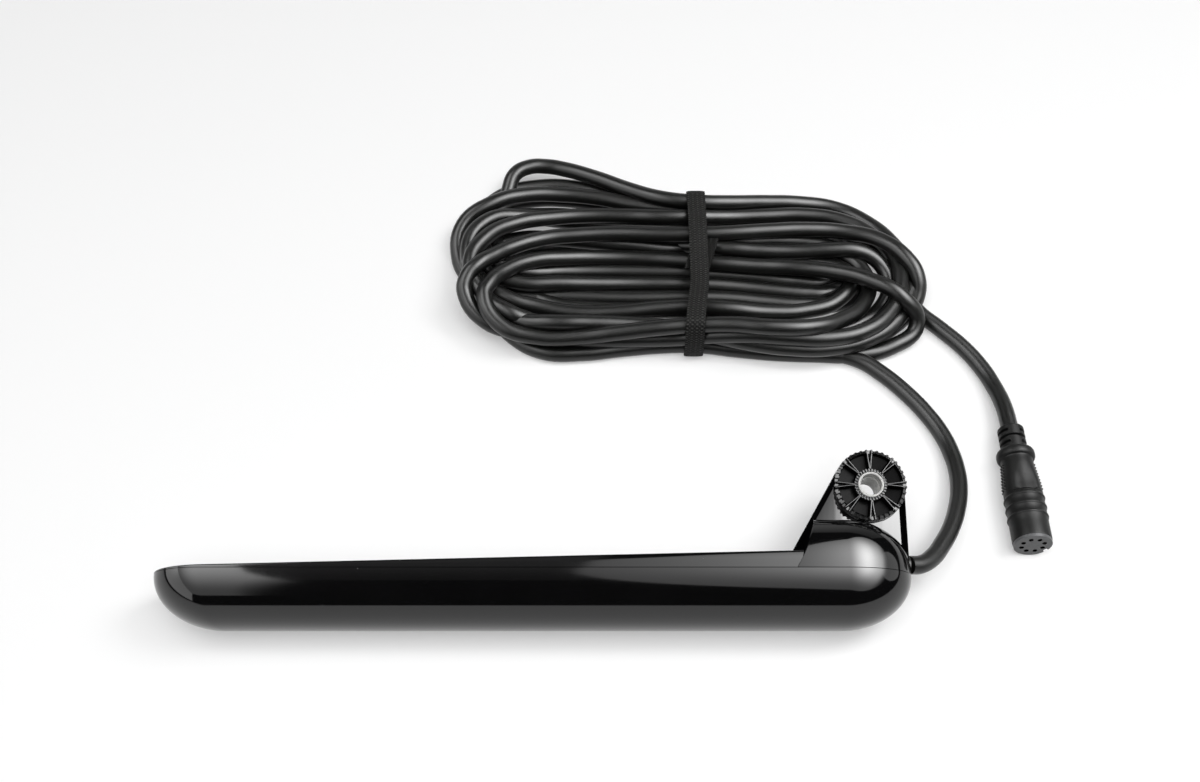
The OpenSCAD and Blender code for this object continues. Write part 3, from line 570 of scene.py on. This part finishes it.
def build_dome(finish, satin):
    top = DOME_H * sin(DOME_ANGLE) ** DOME_POWER
    levels = [(0, SEAM), (LIP, 0)]
    levels += [((top - 1.75) * i / 26, 0) for i in range(1, 27)]
    levels += [(top - 1.62, 0.12), (top - 1.5, 0.24), (top - 1.38, 0.12), (top - 1.25, 0), (top - 0.95, 0)]
    levels += [(top - 0.8 + 0.8 * sin(b), 0.8 * (1 - cos(b))) for b in (pi / 2 * i / 6 for i in range(7))]
    levels.append((top, 1.6))
    piece = loft("nose_dome", [dome_ring(y, inset) for y, inset in levels], caps=True)
    inner = [(-2, WALL), (0, WALL)] + [((top - WALL) * i / 12, WALL) for i in range(1, 13)]
    room = loft("room", [dome_ring(y, inset) for y, inset in inner], caps=True)
    cut(piece, room)
    cut(piece, box_tool((60, -2, -16.4), (104, 3.2, 16.4)))
    cut(piece, round_tool(64, GROMMET_R + 0.08, 27, (PIVOT_X + 13.5, EXIT_H, 0), (0, pi / 2, 0)))
    laid(piece, 30)
    dress(piece, [finish, satin], "shell", "top_cover")
    second_finish(piece, lambda face: face.normal.x < -0.3 and face.center.x < 0.106)


def build_ear(finish, satin):
    angle = prow_angle()
    along, inward = Vector((cos(angle), sin(angle))), Vector((sin(angle), -cos(angle)))
    foot = Vector((PROW_X, DECK_PROW_H)) - along * 2
    pivot = Vector((PIVOT_X, PIVOT_H))
    top = pivot - inward * FLANGE_R
    right, low = PIVOT_X + FLANGE_R, 5
    web = plate("web", [foot, top, pivot, (right, PIVOT_H), (right, low)], -WEB_T / 2, WEB_T / 2, 0.25)
    bowed(web, PROW_X, right, 90.0, 260.0)
    front = plate("front_flange", [foot, top, top + inward * FLANGE_T, foot + inward * FLANGE_T],
                  -FLANGE_W * 0.4, FLANGE_W * 0.4, 0.55)
    left = right - FLANGE_T * 0.45
    back = plate("back_flange", [(left, low), (right, low), (right, PIVOT_H), (left, PIVOT_H)],
                 -FLANGE_W / 4, FLANGE_W / 4, 0.25)
    long, half = 20, BOSS_W / 2
    for flange in (front, back):
        for side in (1, -1):
            cut(flange, round_tool(128, BOSS_R + 0.15, long, (PIVOT_X, PIVOT_H, side * (half + long / 2))))
    cut(web, round_tool(96, SLEEVE_BORE, long, (PIVOT_X, PIVOT_H, 0)))
    end = [(half, SLEEVE_BORE), (half, BOSS_R - 0.3), (half - 0.1, BOSS_R - 0.08), (half - 0.3, BOSS_R)]
    boss = turned("boss", [(-half, SLEEVE_BORE)] + both_ends(end), 128)
    placed(boss, (PIVOT_X, PIVOT_H, 0))
    for part, kind in ((web, finish), (boss, satin), (front, satin), (back, satin)):
        part.data.materials.append(kind)
    piece = joined("pivot_ear", [web, front, back, boss])
    laid(piece, 30)
    dress(piece, [], "shell", "top_cover")


# Ratchets and sleeve

def rim_tooth(t):
    return ease(0.5 + 1.1 * cos(RIM_TEETH * t))


def ratchet_height(r, t, tooth_depth, floor):
    """Height of the ratchet's face at a radius and an angle: toothed hub ring, fanned ridges, pockets, rim."""
    if r < HUB_R:
        tooth = 0.5 + 0.5 * cos(HUB_TEETH * t)
        return RATCHET_T - 0.1 - 0.9 * tooth_depth * ease(1.4 * tooth - 0.2) * ease((r - 4.7) / 0.3)
    pitch = 2 * pi / SPOKES
    off = abs((t + pitch / 2) % pitch - pitch / 2) * r
    apart = 0.12 + 0.85 * (r - HUB_R) / (BOSS_R - HUB_R)
    s = abs(off - apart) / RIDGE
    if s < 1:
        return RATCHET_T - 0.03 - 0.5 * s ** 3
    top = RATCHET_T - RIDGE_TOP
    if off < apart:
        return top - 0.5 * ease((apart - off - RIDGE) / 0.2)
    if r > RIM_R:
        return RATCHET_T - 0.2 - 0.5 * (r - RIM_R) - tooth_depth * rim_tooth(t) * ease((r - RIM_R) / 0.25)
    wall = ease((off - apart - RIDGE) / 0.3) * ease((r - HUB_R) / 0.3) * ease((RIM_R - r) / 0.3)
    return top + (floor + 0.1 * (r - HUB_R) - top) * wall


def build_ratchets(finish, pocket_shade, tooth_depth, floor):
    columns = 640
    radii = [RATCHET_BORE, 4.8, 4.95, 5.1, 5.3, 5.5, 5.65, HUB_R, 5.82, 5.9, 5.97, 6.05, 6.3, 6.7, 7.2, 7.7, 8.2, 8.7,
             9.2, 9.7, 10.2, 10.6, 10.9]
    radii += [BOSS_R - back for back in (1.6, 1.52, 1.44, 1.36, 1.31, 1.26, 1.18, 1.05, 0.8, 0.5, 0.25, 0.1)]
    angles = [2 * pi * i / columns for i in range(columns)]

    def level(r):
        return [(r * cos(t), r * sin(t), 0) for t in angles]

    rings = [level(RATCHET_BORE)]
    for r in radii:
        rings.append([(r * cos(t), r * sin(t), ratchet_height(r, t, tooth_depth, floor)) for t in angles])
    for z, dent in ((4.3, 1), (3.6, 1), (2.6, 1), (2.4, 0.5), (2.2, 0), (0.2, 0)):
        ring = []
        for t in angles:
            r = BOSS_R - 0.4 * dent * rim_tooth(t)
            top = ratchet_height(BOSS_R - 0.2, t, tooth_depth, floor) - 0.1
            ring.append((r * cos(t), r * sin(t), min(z, top) if z > 3 else z))
        rings.append(ring)
    rings += [level(BOSS_R - 0.2), rings[0]]
    for name, node, side in (("ratchet_upper", "ratchet_starboard", 1), ("ratchet_lower", "ratchet_port", -1)):
        piece = loft(name, rings)
        dress(piece, [finish, pocket_shade], "ratchet", node)
        # The pocket floors take the second finish, a darker copy of the ratchet's plastic: painted shade in the
        # pockets.
        second_finish(piece, lambda face: face.center.z < 3.9 * MM
                      and (HUB_R + 0.01) * MM < hypot(face.center.x, face.center.y) < RIM_R * MM)
        placed(piece, (PIVOT_X, PIVOT_H, side * BOSS_W / 2), (0 if side > 0 else pi, 0, 0))
        laid(piece, 36)


def build_sleeve(finish):
    end, step = EAR_W / 2, EAR_W / 2 - MOUTH_DEPTH
    half = [(step - 0.25, PIVOT_R), (step, PIVOT_R + 0.2), (step, MOUTH_R - 0.05), (step + 0.1, MOUTH_R),
            (end - 0.3, MOUTH_R), (end - 0.1, MOUTH_R + 0.08), (end, MOUTH_R + 0.28),
            (end, SLEEVE_R - 0.2), (end - 0.08, SLEEVE_R - 0.06), (end - 0.25, SLEEVE_R)]
    piece = turned("pivot_bush", both_ends(half) + half[:1], 96)
    placed(piece, (PIVOT_X, PIVOT_H, 0))
    laid(piece, 36)
    dress(piece, [finish], "sleeve", "pivot_sleeve")


# Cable, strap and plug

def build_cable(finish, radius):
    curve = bpy.data.curves.new("tied_cable", "CURVE")
    curve.dimensions = "3D"
    curve.resolution_u = 7
    curve.bevel_depth = radius
    curve.bevel_resolution = 5
    curve.use_fill_caps = True
    spline = curve.splines.new("BEZIER")
    spline.bezier_points.add(len(CABLE_ROUTE) - 1)
    for point, place in zip(spline.bezier_points, CABLE_ROUTE):
        point.co = [c * MM for c in place]
        point.handle_left_type = point.handle_right_type = "AUTO"
    piece = bpy.data.objects.new("tied_cable", curve)
    bpy.context.collection.objects.link(piece)
    dress(piece, [finish], "jacket", "lead_cable", "cable_hank", "plug_cable")


def spaced(points, count):
    """Even points along a smooth closed line through the given ones, with the direction at each."""
    points = [Vector(p) for p in points]
    n, steps = len(points), 24
    fine = []
    for i in range(n):
        a, b, c, d = (points[(i + k) % n] for k in (-1, 0, 1, 2))
        for t in (k / steps for k in range(steps)):
            fine.append(0.5 * (2 * b + (c - a) * t + (2 * a - 5 * b + 4 * c - d) * t ** 2
                               + (3 * b - a - 3 * c + d) * t ** 3))
    fine.append(fine[0].copy())
    lengths = [0.0]
    for a, b in zip(fine, fine[1:]):
        lengths.append(lengths[-1] + (b - a).length)
    out, j = [], 0
    for i in range(count):
        want = lengths[-1] * i / count
        while j < len(fine) - 2 and lengths[j + 1] < want:
            j += 1
        share = (want - lengths[j]) / max(1e-9, lengths[j + 1] - lengths[j])
        out.append((fine[j].lerp(fine[j + 1], share), (fine[j + 1] - fine[j]).normalized()))
    return out


def strap_section(place, along, width, thick, shift, wobble):
    """Section of the strap across its run: crowned outer face, thin edges and a flat back."""
    out = Vector((-along.y, along.x))
    half = width / 2 + wobble
    crown = [(u, thick * (1 - 0.25 * u ** 4)) for u in (-1 + 2 * i / 8 for i in range(9))]
    points = []
    for u, lift in crown + [(u, 0.06) for u in (0.96, 0.4, -0.4, -0.96)]:
        p = place + out * lift
        points.append((STRAP_X + shift + u * half, p.x, p.y))
    return points


def build_strap(finish, width, thick):
    def slant(y):
        return 1.1 - 3.0 * ease((128 - y) / 34)

    def wobble(i):
        return 0.1 * sin(i * pi / 2)

    rings = [strap_section(place, along, width, thick, slant(place.x), wobble(i))
             for i, (place, along) in enumerate(spaced(STRAP_LOOP, 420))]
    band = loft("band", rings + rings[:1])
    rings = []
    count = 60
    for i in range(count):
        t = i / (count - 1)
        place = TAIL_TOP.lerp(TAIL_FOOT, t)
        rings.append(strap_section(place, Vector((-1, 0)), TAIL_W, TAIL_T, 4.4 - 4.2 * t, wobble(i)))
    tail = loft("tail", rings, caps=True)
    piece = joined("woven_strap", [band, tail])
    smooth(piece, 40)
    dress(piece, [finish], "strap", "hank_strap")


def grip_radius(s):
    return NECK_R + (PLUG_R - NECK_R) * ease((s - GRIP_FROM) / (GRIP_TO - GRIP_FROM)) ** 0.85


def relief_dent(s, t, hollow):
    """Grooves of the strain relief, the outer two bridged on its top and underside, and the grip's hollows."""
    depth = 0.0
    for place, bridged in ((2.7, True), (5.3, False), (7.95, True)):
        groove = ease((0.62 - abs(s - place)) / 0.2)
        if bridged:
            groove *= ease((abs(cos(t)) - 0.42) / 0.12)
        depth = max(depth, 1.25 * groove)
    if GRIP_FROM - 0.1 < s < GRIP_TO - 0.1:
        away = min(abs(t - pi / 2), abs(t - 3 * pi / 2))
        depth += hollow * ease((s - 17) / 10.5) * ease((30.4 - s) / 0.7) * exp(-(away / 0.6) ** 4)
    return depth


def build_plug(rubber, hollow):
    profile = [(0, 0.5), (0, 3.05), (0, 4.3), (0.12, 4.68), (0.45, 4.95)]
    profile += [(0.8 + 0.14 * i, RELIEF_R) for i in range(67)]
    profile += [(10.5, 5.05), (10.62, 5.4), (10.75, 6.4), (11.1, 6.9), (11.7, 7.15), (12.6, PLUG_R), (13.5, 7.15),
                (14.1, 6.9), (14.45, 6.5), (14.6, 6.1), (GRIP_FROM, NECK_R)]
    rows = 32
    for s in (GRIP_FROM + (GRIP_TO - GRIP_FROM) * i / rows for i in range(1, rows + 1)):
        profile.append((s, grip_radius(s)))
    profile += [(GRIP_TO, 1.0), (GRIP_TO, 0.5)]
    pieces = [turned("grip", profile, 144, lambda s, t: relief_dent(s, t, hollow))]
    for side in (0, pi):
        for row in range(9):
            for column in (-1, 0, 1):
                s = 17.2 + 1.35 * row
                r, t = grip_radius(s), side + column * 0.26
                start()
                bpy.ops.mesh.primitive_ico_sphere_add(subdivisions=2, radius=0.42 * MM,
                                                      location=(r * cos(t) * MM, r * sin(t) * MM, s * MM))
                pieces.append(named("bump"))
    over = joined("plug_grip", pieces)
    barrel = [(GRIP_TO, RELIEF_R), (GRIP_TO, 7.0), (30.7, 7.15), (30.9, PLUG_R)]
    ridge = ((-0.75, 0), (-0.55, 0.08), (-0.35, 0.3), (0, 0.4), (0.35, 0.3), (0.55, 0.08), (0.75, 0))
    for place in (32.2, 36.2, 40.2):
        barrel += [(place + s, PLUG_R + lift) for s, lift in ridge]
    front = PLUG_LEN - 1.2
    barrel += [(44, PLUG_R), (46.5, PLUG_R), (front - 0.6, PLUG_R), (front - 0.2, 7.15), (front, 7.02), (front, 7.0),
               (front, RELIEF_R), (GRIP_TO, RELIEF_R)]
    shell = turned("plug_shell", barrel, 128)
    for piece, node in ((over, "plug_overmould"), (shell, "plug_barrel")):
        placed(piece, PLUG_TAIL, (pi / 2, 0, 0))
        smooth(piece, 36)
        dress(piece, [rubber], "plug", node)


def build_sockets(dark):
    """Contact sockets that line the holes in the plug's face, each with a thin rim, coloured near black as painted
    shade inside the holes.
    """
    wall, rim, rim_low, rim_top = 0.67, 0.86, SOCKET_LEN - 0.03, SOCKET_LEN + 0.03
    profile = [(0, 0.2), (0, wall), (rim_low, wall), (rim_low, rim), (rim_top, rim), (rim_top, 0.62), (5, 0.62),
               (5, 0.2), (0, 0.2)]
    sockets = []
    for i in range(CONTACT_COUNT):
        t = (i + 0.5) * 2 * pi / CONTACT_COUNT
        socket = turned("socket", profile, 24)
        placed(socket, (CONTACT_RING_R * cos(t), CONTACT_RING_R * sin(t), PLUG_LEN - SOCKET_LEN))
        sockets.append(socket)
    piece = joined("plug_sockets", sockets)
    placed(piece, PLUG_TAIL, (pi / 2, 0, 0))
    smooth(piece, 36)
    dress(piece, [dark], "contact", "plug_contacts")


# Settings that a user would change

def colour_setting(name, description, value):
    return FloatVectorProperty(name=name, description=description, default=value, min=0, max=1,
                               size=3, subtype="COLOR")


def length_setting(name, description, value):
    return FloatProperty(name=name, description=description, default=value * MM, min=0, precision=5, unit="LENGTH",
                         subtype="DISTANCE")


class TransducerSizes(bpy.types.PropertyGroup):
    jacket: length_setting("Cable diameter", "Diameter of the cable outside the nose", 6.6)
    strap_width: length_setting("Strap width", "Width of the woven strap", 7.6)
    strap_thick: length_setting("Strap thickness", "Thickness of the woven strap", 1.1)
    tooth: length_setting("Ratchet tooth", "Depth of the teeth on the ratchets", 0.9)
    pocket: length_setting("Ratchet floor", "Thickness of a ratchet's floor under its pockets", 1.2)
    scoop: length_setting("Grip hollow", "Depth of the hollow in the plug's grip", 1.5)


class TransducerFinishes(bpy.types.PropertyGroup):
    shell: colour_setting("Shell", "Colour of the polished shells", (0.0017, 0.0017, 0.0019))
    ratchet: colour_setting("Ratchet", "Colour of the two ratchets", (0.004, 0.004, 0.0042))
    sleeve: colour_setting("Sleeve", "Colour of the pivot sleeve", (0.34, 0.34, 0.33))
    jacket: colour_setting("Cable", "Colour of the cable's jacket", (0.0038, 0.0039, 0.0036))
    strap: colour_setting("Strap", "Colour of the strap's yarn", (0.0032, 0.0032, 0.003))
    plug: colour_setting("Plug", "Colour of the plug's overmould and shell", (0.0026, 0.0027, 0.0026))
    insert: colour_setting("Plug face", "Colour of the plug's insert", (0.055, 0.056, 0.058))


class TransducerStage(bpy.types.PropertyGroup):
    floor: colour_setting("Floor", "Colour of the floor", (0.93, 0.93, 0.93))
    white: FloatProperty(name="White", description="Share of plain white in the floor that is seen", default=0.32,
                         min=0, max=1)
    lamps: FloatProperty(name="Lamps", description="Level of the lamps, 1 for plain white", default=1.0, min=0)
    panels: FloatProperty(name="Panels", description="Level of the panels seen in polished surfaces", default=1.0,
                          min=0)
    lens: FloatProperty(name="Lens", description="Focal length of the camera", default=43.5, min=10, max=200)


class TRANSDUCER_OT_cable(bpy.types.Operator):
    """Lays the cable from the nose through its tied hank to the plug"""
    bl_idname = "transducer.cable"
    bl_label = "Tied cable"

    def execute(self, context):
        colour = context.scene.transducer_finishes.jacket
        finish = plain_finish("cable_jacket", colour, 0.325, 0.2, 60, 1400, 0.005, mirror=0.4)
        build_cable(finish, context.scene.transducer_sizes.jacket / 2)
        return {"FINISHED"}


class TRANSDUCER_OT_shells(bpy.types.Operator):
    """Moulds the lower housing, the deck, the nose dome and the pivot ear"""
    bl_idname = "transducer.shells"
    bl_label = "Shells"

    def execute(self, context):
        shell = context.scene.transducer_finishes.shell
        finish = gloss_shell("polished_shell", shell)
        satin = plain_finish("satin_shell", shell, 0.28, 0.25, 120, 1800, 0.01, mirror=0.0)
        build_lower_housing(finish)
        build_deck(finish)
        build_dome(finish, satin)
        build_ear(finish, satin)
        return {"FINISHED"}


class TRANSDUCER_OT_ratchets(bpy.types.Operator):
    """Makes the two ratchets and the sleeve between them"""
    bl_idname = "transducer.ratchets"
    bl_label = "Ratchets and sleeve"

    def execute(self, context):
        finishes, sizes = context.scene.transducer_finishes, context.scene.transducer_sizes
        # The pockets' finish is the ratchet's colour at a third with almost no reflection, as painted shade in the
        # pockets.
        shade = [c / 3 for c in finishes.ratchet]
        finish = plain_finish("ratchet_plastic", finishes.ratchet, 0.2, 0.2, 300, 2600, 0.012, mirror=0.7)
        pocket_shade = plain_finish("pocket_painted_shade", shade, 0.3, 0.3, 300, 2600, 0.02, mirror=0.04)
        build_ratchets(finish, pocket_shade, sizes.tooth / MM, sizes.pocket / MM)
        build_sleeve(plain_finish("sleeve_plastic", finishes.sleeve, 0.42, 0.1, 400, 2200, 0.015))
        return {"FINISHED"}


class TRANSDUCER_OT_strap(bpy.types.Operator):
    """Winds the woven strap round the hank"""
    bl_idname = "transducer.strap"
    bl_label = "Strap"

    def execute(self, context):
        sizes = context.scene.transducer_sizes
        finish = woven_strap("strap_weave_light_and_shade", context.scene.transducer_finishes.strap)
        build_strap(finish, sizes.strap_width / MM, sizes.strap_thick / MM)
        return {"FINISHED"}


class TRANSDUCER_OT_plug(bpy.types.Operator):
    """Makes the plug's overmould, shell and contact sockets"""
    bl_idname = "transducer.plug"
    bl_label = "Plug"

    def execute(self, context):
        colour = context.scene.transducer_finishes.plug
        rubber = plain_finish("plug_rubber", colour, 0.45, 0.2, 250, 2000, 0.03, strength=0.5, mirror=0.2)
        build_plug(rubber, context.scene.transducer_sizes.scoop / MM)
        # The sockets' near-black finish without reflection is painted shade in the plug's holes.
        build_sockets(plain_finish("socket_painted_shade", (0.001, 0.001, 0.001), 0.9, 0.3, 900, 4000, 0.01, mirror=0.0))
        return {"FINISHED"}


class TRANSDUCER_OT_inner(bpy.types.Operator):
    """Finishes the nodes that stay as the frame has them"""
    bl_idname = "transducer.inner"
    bl_label = "Carried parts"

    def execute(self, context):
        insert = context.scene.transducer_finishes.insert
        carried = (
            (plain_finish("insert_plastic", insert, 0.5, 0.1, 300, 2400, 0.02), "plug_insert"),
            (plain_finish("carrier_plastic", (0.06, 0.06, 0.065), 0.5, 0.15), "element_carrier"),
            (plain_finish("element_ceramic", (0.62, 0.58, 0.48), 0.55, 0.08, 500, 3500, 0.02),
             "down_scan_bar", "side_scan_bar_port", "side_scan_bar_starboard", "chirp_element"),
            (plain_finish("backing_foam", (0.05, 0.05, 0.055), 0.9, 0.3, 1800, 2600, 0.12, strength=0.8),
             "down_scan_backing", "side_scan_backing_port", "side_scan_backing_starboard", "chirp_cup"),
            (plain_finish("bond_resin", (0.42, 0.3, 0.12), 0.3, 0.12, 160, 900, 0.02), "chirp_bond_pad"),
            (plain_finish("sensor_epoxy", (0.02, 0.05, 0.03), 0.35, 0.2, 700), "thermistor"),
            (plain_finish("board_laminate", (0.02, 0.12, 0.05), 0.4, 0.2, 1200, 4200, 0.02), "terminal_board"),
            (plain_finish("coil_copper", (0.62, 0.26, 0.1), 0.3, 0.15, 900, 2200, 0.05, metal=1.0), "matching_coils"),
            (plain_finish("capacitor_body", (0.36, 0.24, 0.14), 0.4, 0.12, 900), "board_capacitors"),
            (plain_finish("wire_cover", (0.45, 0.05, 0.04), 0.4, 0.15, 700), "element_leads"),
            (plain_finish("core_cover", (0.5, 0.5, 0.48), 0.4, 0.1, 700), "core_wires"),
            (bpy.data.materials["cable_jacket"], "cable_tail"),
            (plain_finish("grommet_rubber", (0.012, 0.012, 0.012), 0.5, 0.2, 400), "cable_grommet"),
            (plain_finish("clamp_plastic", (0.1, 0.1, 0.1), 0.45, 0.15, 400), "cable_saddle", "cable_clamp"),
            (plain_finish("screw_steel", (0.5, 0.5, 0.51), 0.28, 0.1, 900, 2600, 0.01, metal=1.0), "clamp_screws"),
        )
        for finish, *names in carried:
            for name in names:
                mesh = NODES[name].data
                mesh.materials.clear()
                mesh.materials.append(finish)
        return {"FINISHED"}


# Stage, in metres

# Lamps: name, place, point they aim at, size and power
LAMPS = (
    ("overhead", (0.03, -0.55, 1.5), (0.03, -0.55, 0), 1.5, 29),
    ("side", (0.75, 0.15, 1.1), (0.03, 0.05, 0), 0.5, 6),
)

# Panels: name, shape, place, turn, size and level, the hot spot's level, place and width, and a fade if there is one
PANELS = (
    ("key_panel", "ELLIPSE", (1.1, -0.3, 1.0), (0, 0, 0), (2.2, 2.8), 0.98,
     15.5, (0.66, 0.07, 1.0), (0.35, 0.54, 1), ((1, 0, 0), 1.3, 2.2)),
    ("glow_panel", "ELLIPSE", (1.1, -0.3, 1.01), (0, 0, 0), (2.2, 2.8), 0,
     8, (1.2, 0.0, 1.01), (0.5, 0.8, 1), ((1, 0, 0), 1.5, 2.2)),
    ("right_panel", "ELLIPSE", (1.8, 0.07, 0.76), (0, pi / 2, 0), (1.28, 1.3), 1.25,
     0, (0, 0, 0), (1, 1, 1), ((0, 0, 1), 0.82, 1.39)),
    ("gap_panel", "RECTANGLE", (-0.16, 0.0, 1.0), (0, 0, 0), (0.36, 1.4), 0.05,
     0.3, (-0.16, 0.2, 1.0), (0.5, 0.5, 1)),
    ("fill_panel", "RECTANGLE", (-0.94, -0.9, 1.0), (0, 0, 0), (1.2, 3.0), 0.9,
     6, (-0.5, 0.3, 1.0), (0.7, 0.9, 1), ((1.5, -0.33, 0), -0.34, -0.24)),
    ("back_panel", "RECTANGLE", (0, 1.3, 0.5), (-pi / 2, 0, 0), (2.6, 0.84), 0.2,
     0.6, (-0.35, 1.3, 0.35), (0.9, 1, 0.5)),
    ("left_panel", "RECTANGLE", (-1.54, -0.9, 0.56), (0, -pi / 2, 0), (0.86, 3.0), 1.8,
     3.2, (-1.54, 0.3, 1.0), (1, 0.6, 0.5)),
)


def hung(data, place, turn):
    """Puts a lamp, a panel or the camera in its place."""
    holder = bpy.data.objects.new(data.name, data)
    bpy.context.collection.objects.link(holder)
    holder.location = place
    holder.rotation_euler = turn
    return holder


def lamp(name, place, aim, size, power):
    """Plain square lamp that lights the floor and the object from a place towards a point."""
    light = bpy.data.lights.new(name, "AREA")
    light.shape = "SQUARE"
    light.size = size
    light.energy = power
    turn = (Vector(aim) - Vector(place)).to_track_quat("-Z", "Y").to_euler()
    hung(light, place, turn).visible_glossy = False


def gloss_panel(name, shape, place, turn, size, level, hot, hot_at, hot_width, ending=((0, 0, 0), 0, 1)):
    """Panel that polished surfaces mirror, brighter round a point and fading out along a direction."""
    light = bpy.data.lights.new(name, "AREA")
    light.shape = shape
    light.size, light.size_y = size
    light.energy = pi * size[0] * size[1] * (pi / 4 if shape == "ELLIPSE" else 1)
    light.use_nodes = True
    tree = light.node_tree
    position = add_node(tree, "NewGeometry", output="Position")
    offset = add_node(tree, "VectorMath", (position, hot_at), operation="SUBTRACT")
    scaled = add_node(tree, "VectorMath", (offset, hot_width), operation="DIVIDE")
    square = add_node(tree, "VectorMath", (scaled, scaled), "Value", operation="DOT_PRODUCT")
    bell = maths(tree, "EXPONENT", maths(tree, "MULTIPLY", square, -1))
    total = maths(tree, "MULTIPLY_ADD", bell, hot, level)
    direction, full, gone = ending
    along = add_node(tree, "VectorMath", (position, direction), "Value", operation="DOT_PRODUCT")
    shown = maths(tree, "MULTIPLY", total, spread(tree, along, 1.0, 0.0, full, gone))
    tree.links.new(shown, tree.nodes["Emission"].inputs["Strength"])
    hung(light, place, turn).visible_diffuse = False


def floor_paper(name, colour, white):
    """Pale paper, mixed with a share of plain white where it is seen or mirrored."""
    made, tree, shader = material(name)
    tone = noise(tree, add_node(tree, "TexCoord", output="Object"), 3)
    tree.links.new(tint(tree, tone, [c * 0.995 for c in colour], colour), shader["Base Color"])
    shader["Roughness"].default_value = 0.9
    shader["Specular IOR Level"].default_value = 0.0
    seen = add_node(tree, "LightPath", output="Is Camera Ray")
    for kind in ("Is Glossy Ray", "Is Transmission Ray"):
        seen = maths(tree, "MAXIMUM", seen, add_node(tree, "LightPath", output=kind))
    paper = tree.nodes["Principled BSDF"].outputs["BSDF"]
    plain = add_node(tree, "Emission")
    mixed = add_node(tree, "MixShader", (maths(tree, "MULTIPLY", seen, white), paper, plain))
    tree.links.new(mixed, tree.nodes["Material Output"].inputs["Surface"])
    return made


class TRANSDUCER_OT_stage(bpy.types.Operator):
    """Sets the floor, the studio light and the camera"""
    bl_idname = "transducer.stage"
    bl_label = "Stage"

    def execute(self, context):
        stage = context.scene.transducer_stage
        start()
        bpy.ops.mesh.primitive_plane_add(size=8)
        floor = named("studio_floor")
        floor.data.materials.append(floor_paper("floor_paper", list(stage.floor), stage.white))
        world = context.scene.world = bpy.data.worlds.new("studio")
        world.use_nodes = True
        back = world.node_tree.nodes["Background"].inputs
        back["Color"].default_value = (1, 1, 1, 1)
        back["Strength"].default_value = 0.03
        for *placing, power in LAMPS:
            lamp(*placing, stage.lamps * power)
        for name, shape, place, turn, size, level, hot, *rest in PANELS:
            gloss_panel(name, shape, place, turn, size, stage.panels * level, stage.panels * hot, *rest)
        camera = bpy.data.cameras.new("photo_camera")
        camera.lens = stage.lens
        camera.sensor_width = SENSOR
        camera.clip_start = 0.01
        context.scene.camera = hung(camera, CAMERA_PLACE, (CAMERA_PITCH, 0, 0))
        context.scene.view_settings.view_transform = "Standard"
        return {"FINISHED"}


class TRANSDUCER_PT_panel(bpy.types.Panel):
    """Lists the settings and the steps of the transducer"""
    bl_idname = "TRANSDUCER_PT_panel"
    bl_label = "Transducer"
    bl_space_type = "VIEW_3D"
    bl_region_type = "UI"
    bl_category = "Transducer"

    def draw(self, context):
        for group in (context.scene.transducer_sizes, context.scene.transducer_finishes,
                      context.scene.transducer_stage):
            column = self.layout.column()
            for key in group.__annotations__:
                column.prop(group, key)
        for step in STEPS:
            self.layout.operator(step.bl_idname)


STEPS = (TRANSDUCER_OT_stage, TRANSDUCER_OT_cable, TRANSDUCER_OT_shells, TRANSDUCER_OT_ratchets,
         TRANSDUCER_OT_strap, TRANSDUCER_OT_plug, TRANSDUCER_OT_inner)
CLASSES = (TransducerSizes, TransducerFinishes, TransducerStage) + STEPS + (TRANSDUCER_PT_panel,)


def register():
    for kind in CLASSES:
        bpy.utils.register_class(kind)
    bpy.types.Scene.transducer_sizes = PointerProperty(type=TransducerSizes)
    bpy.types.Scene.transducer_finishes = PointerProperty(type=TransducerFinishes)
    bpy.types.Scene.transducer_stage = PointerProperty(type=TransducerStage)


def unregister():
    del bpy.types.Scene.transducer_stage
    del bpy.types.Scene.transducer_finishes
    del bpy.types.Scene.transducer_sizes
    for kind in reversed(CLASSES):
        bpy.utils.unregister_class(kind)


def declare_cable():
    """Gathers the pieces that lie on the cable, and does nothing more with them."""
    pieces = [bpy.data.objects[name] for name in ("woven_strap", "plug_grip", "plug_shell", "plug_sockets")]
    pieces.append(NODES["plug_insert"])


def main():
    register()
    bpy.ops.transducer.stage()
    bpy.ops.transducer.cable()
    bpy.ops.transducer.shells()
    bpy.ops.transducer.ratchets()
    bpy.ops.transducer.strap()
    bpy.ops.transducer.plug()
    bpy.ops.transducer.inner()
    declare_cable()
    bpy.context.view_layer.update()


if __name__ == "__main__":
    main()
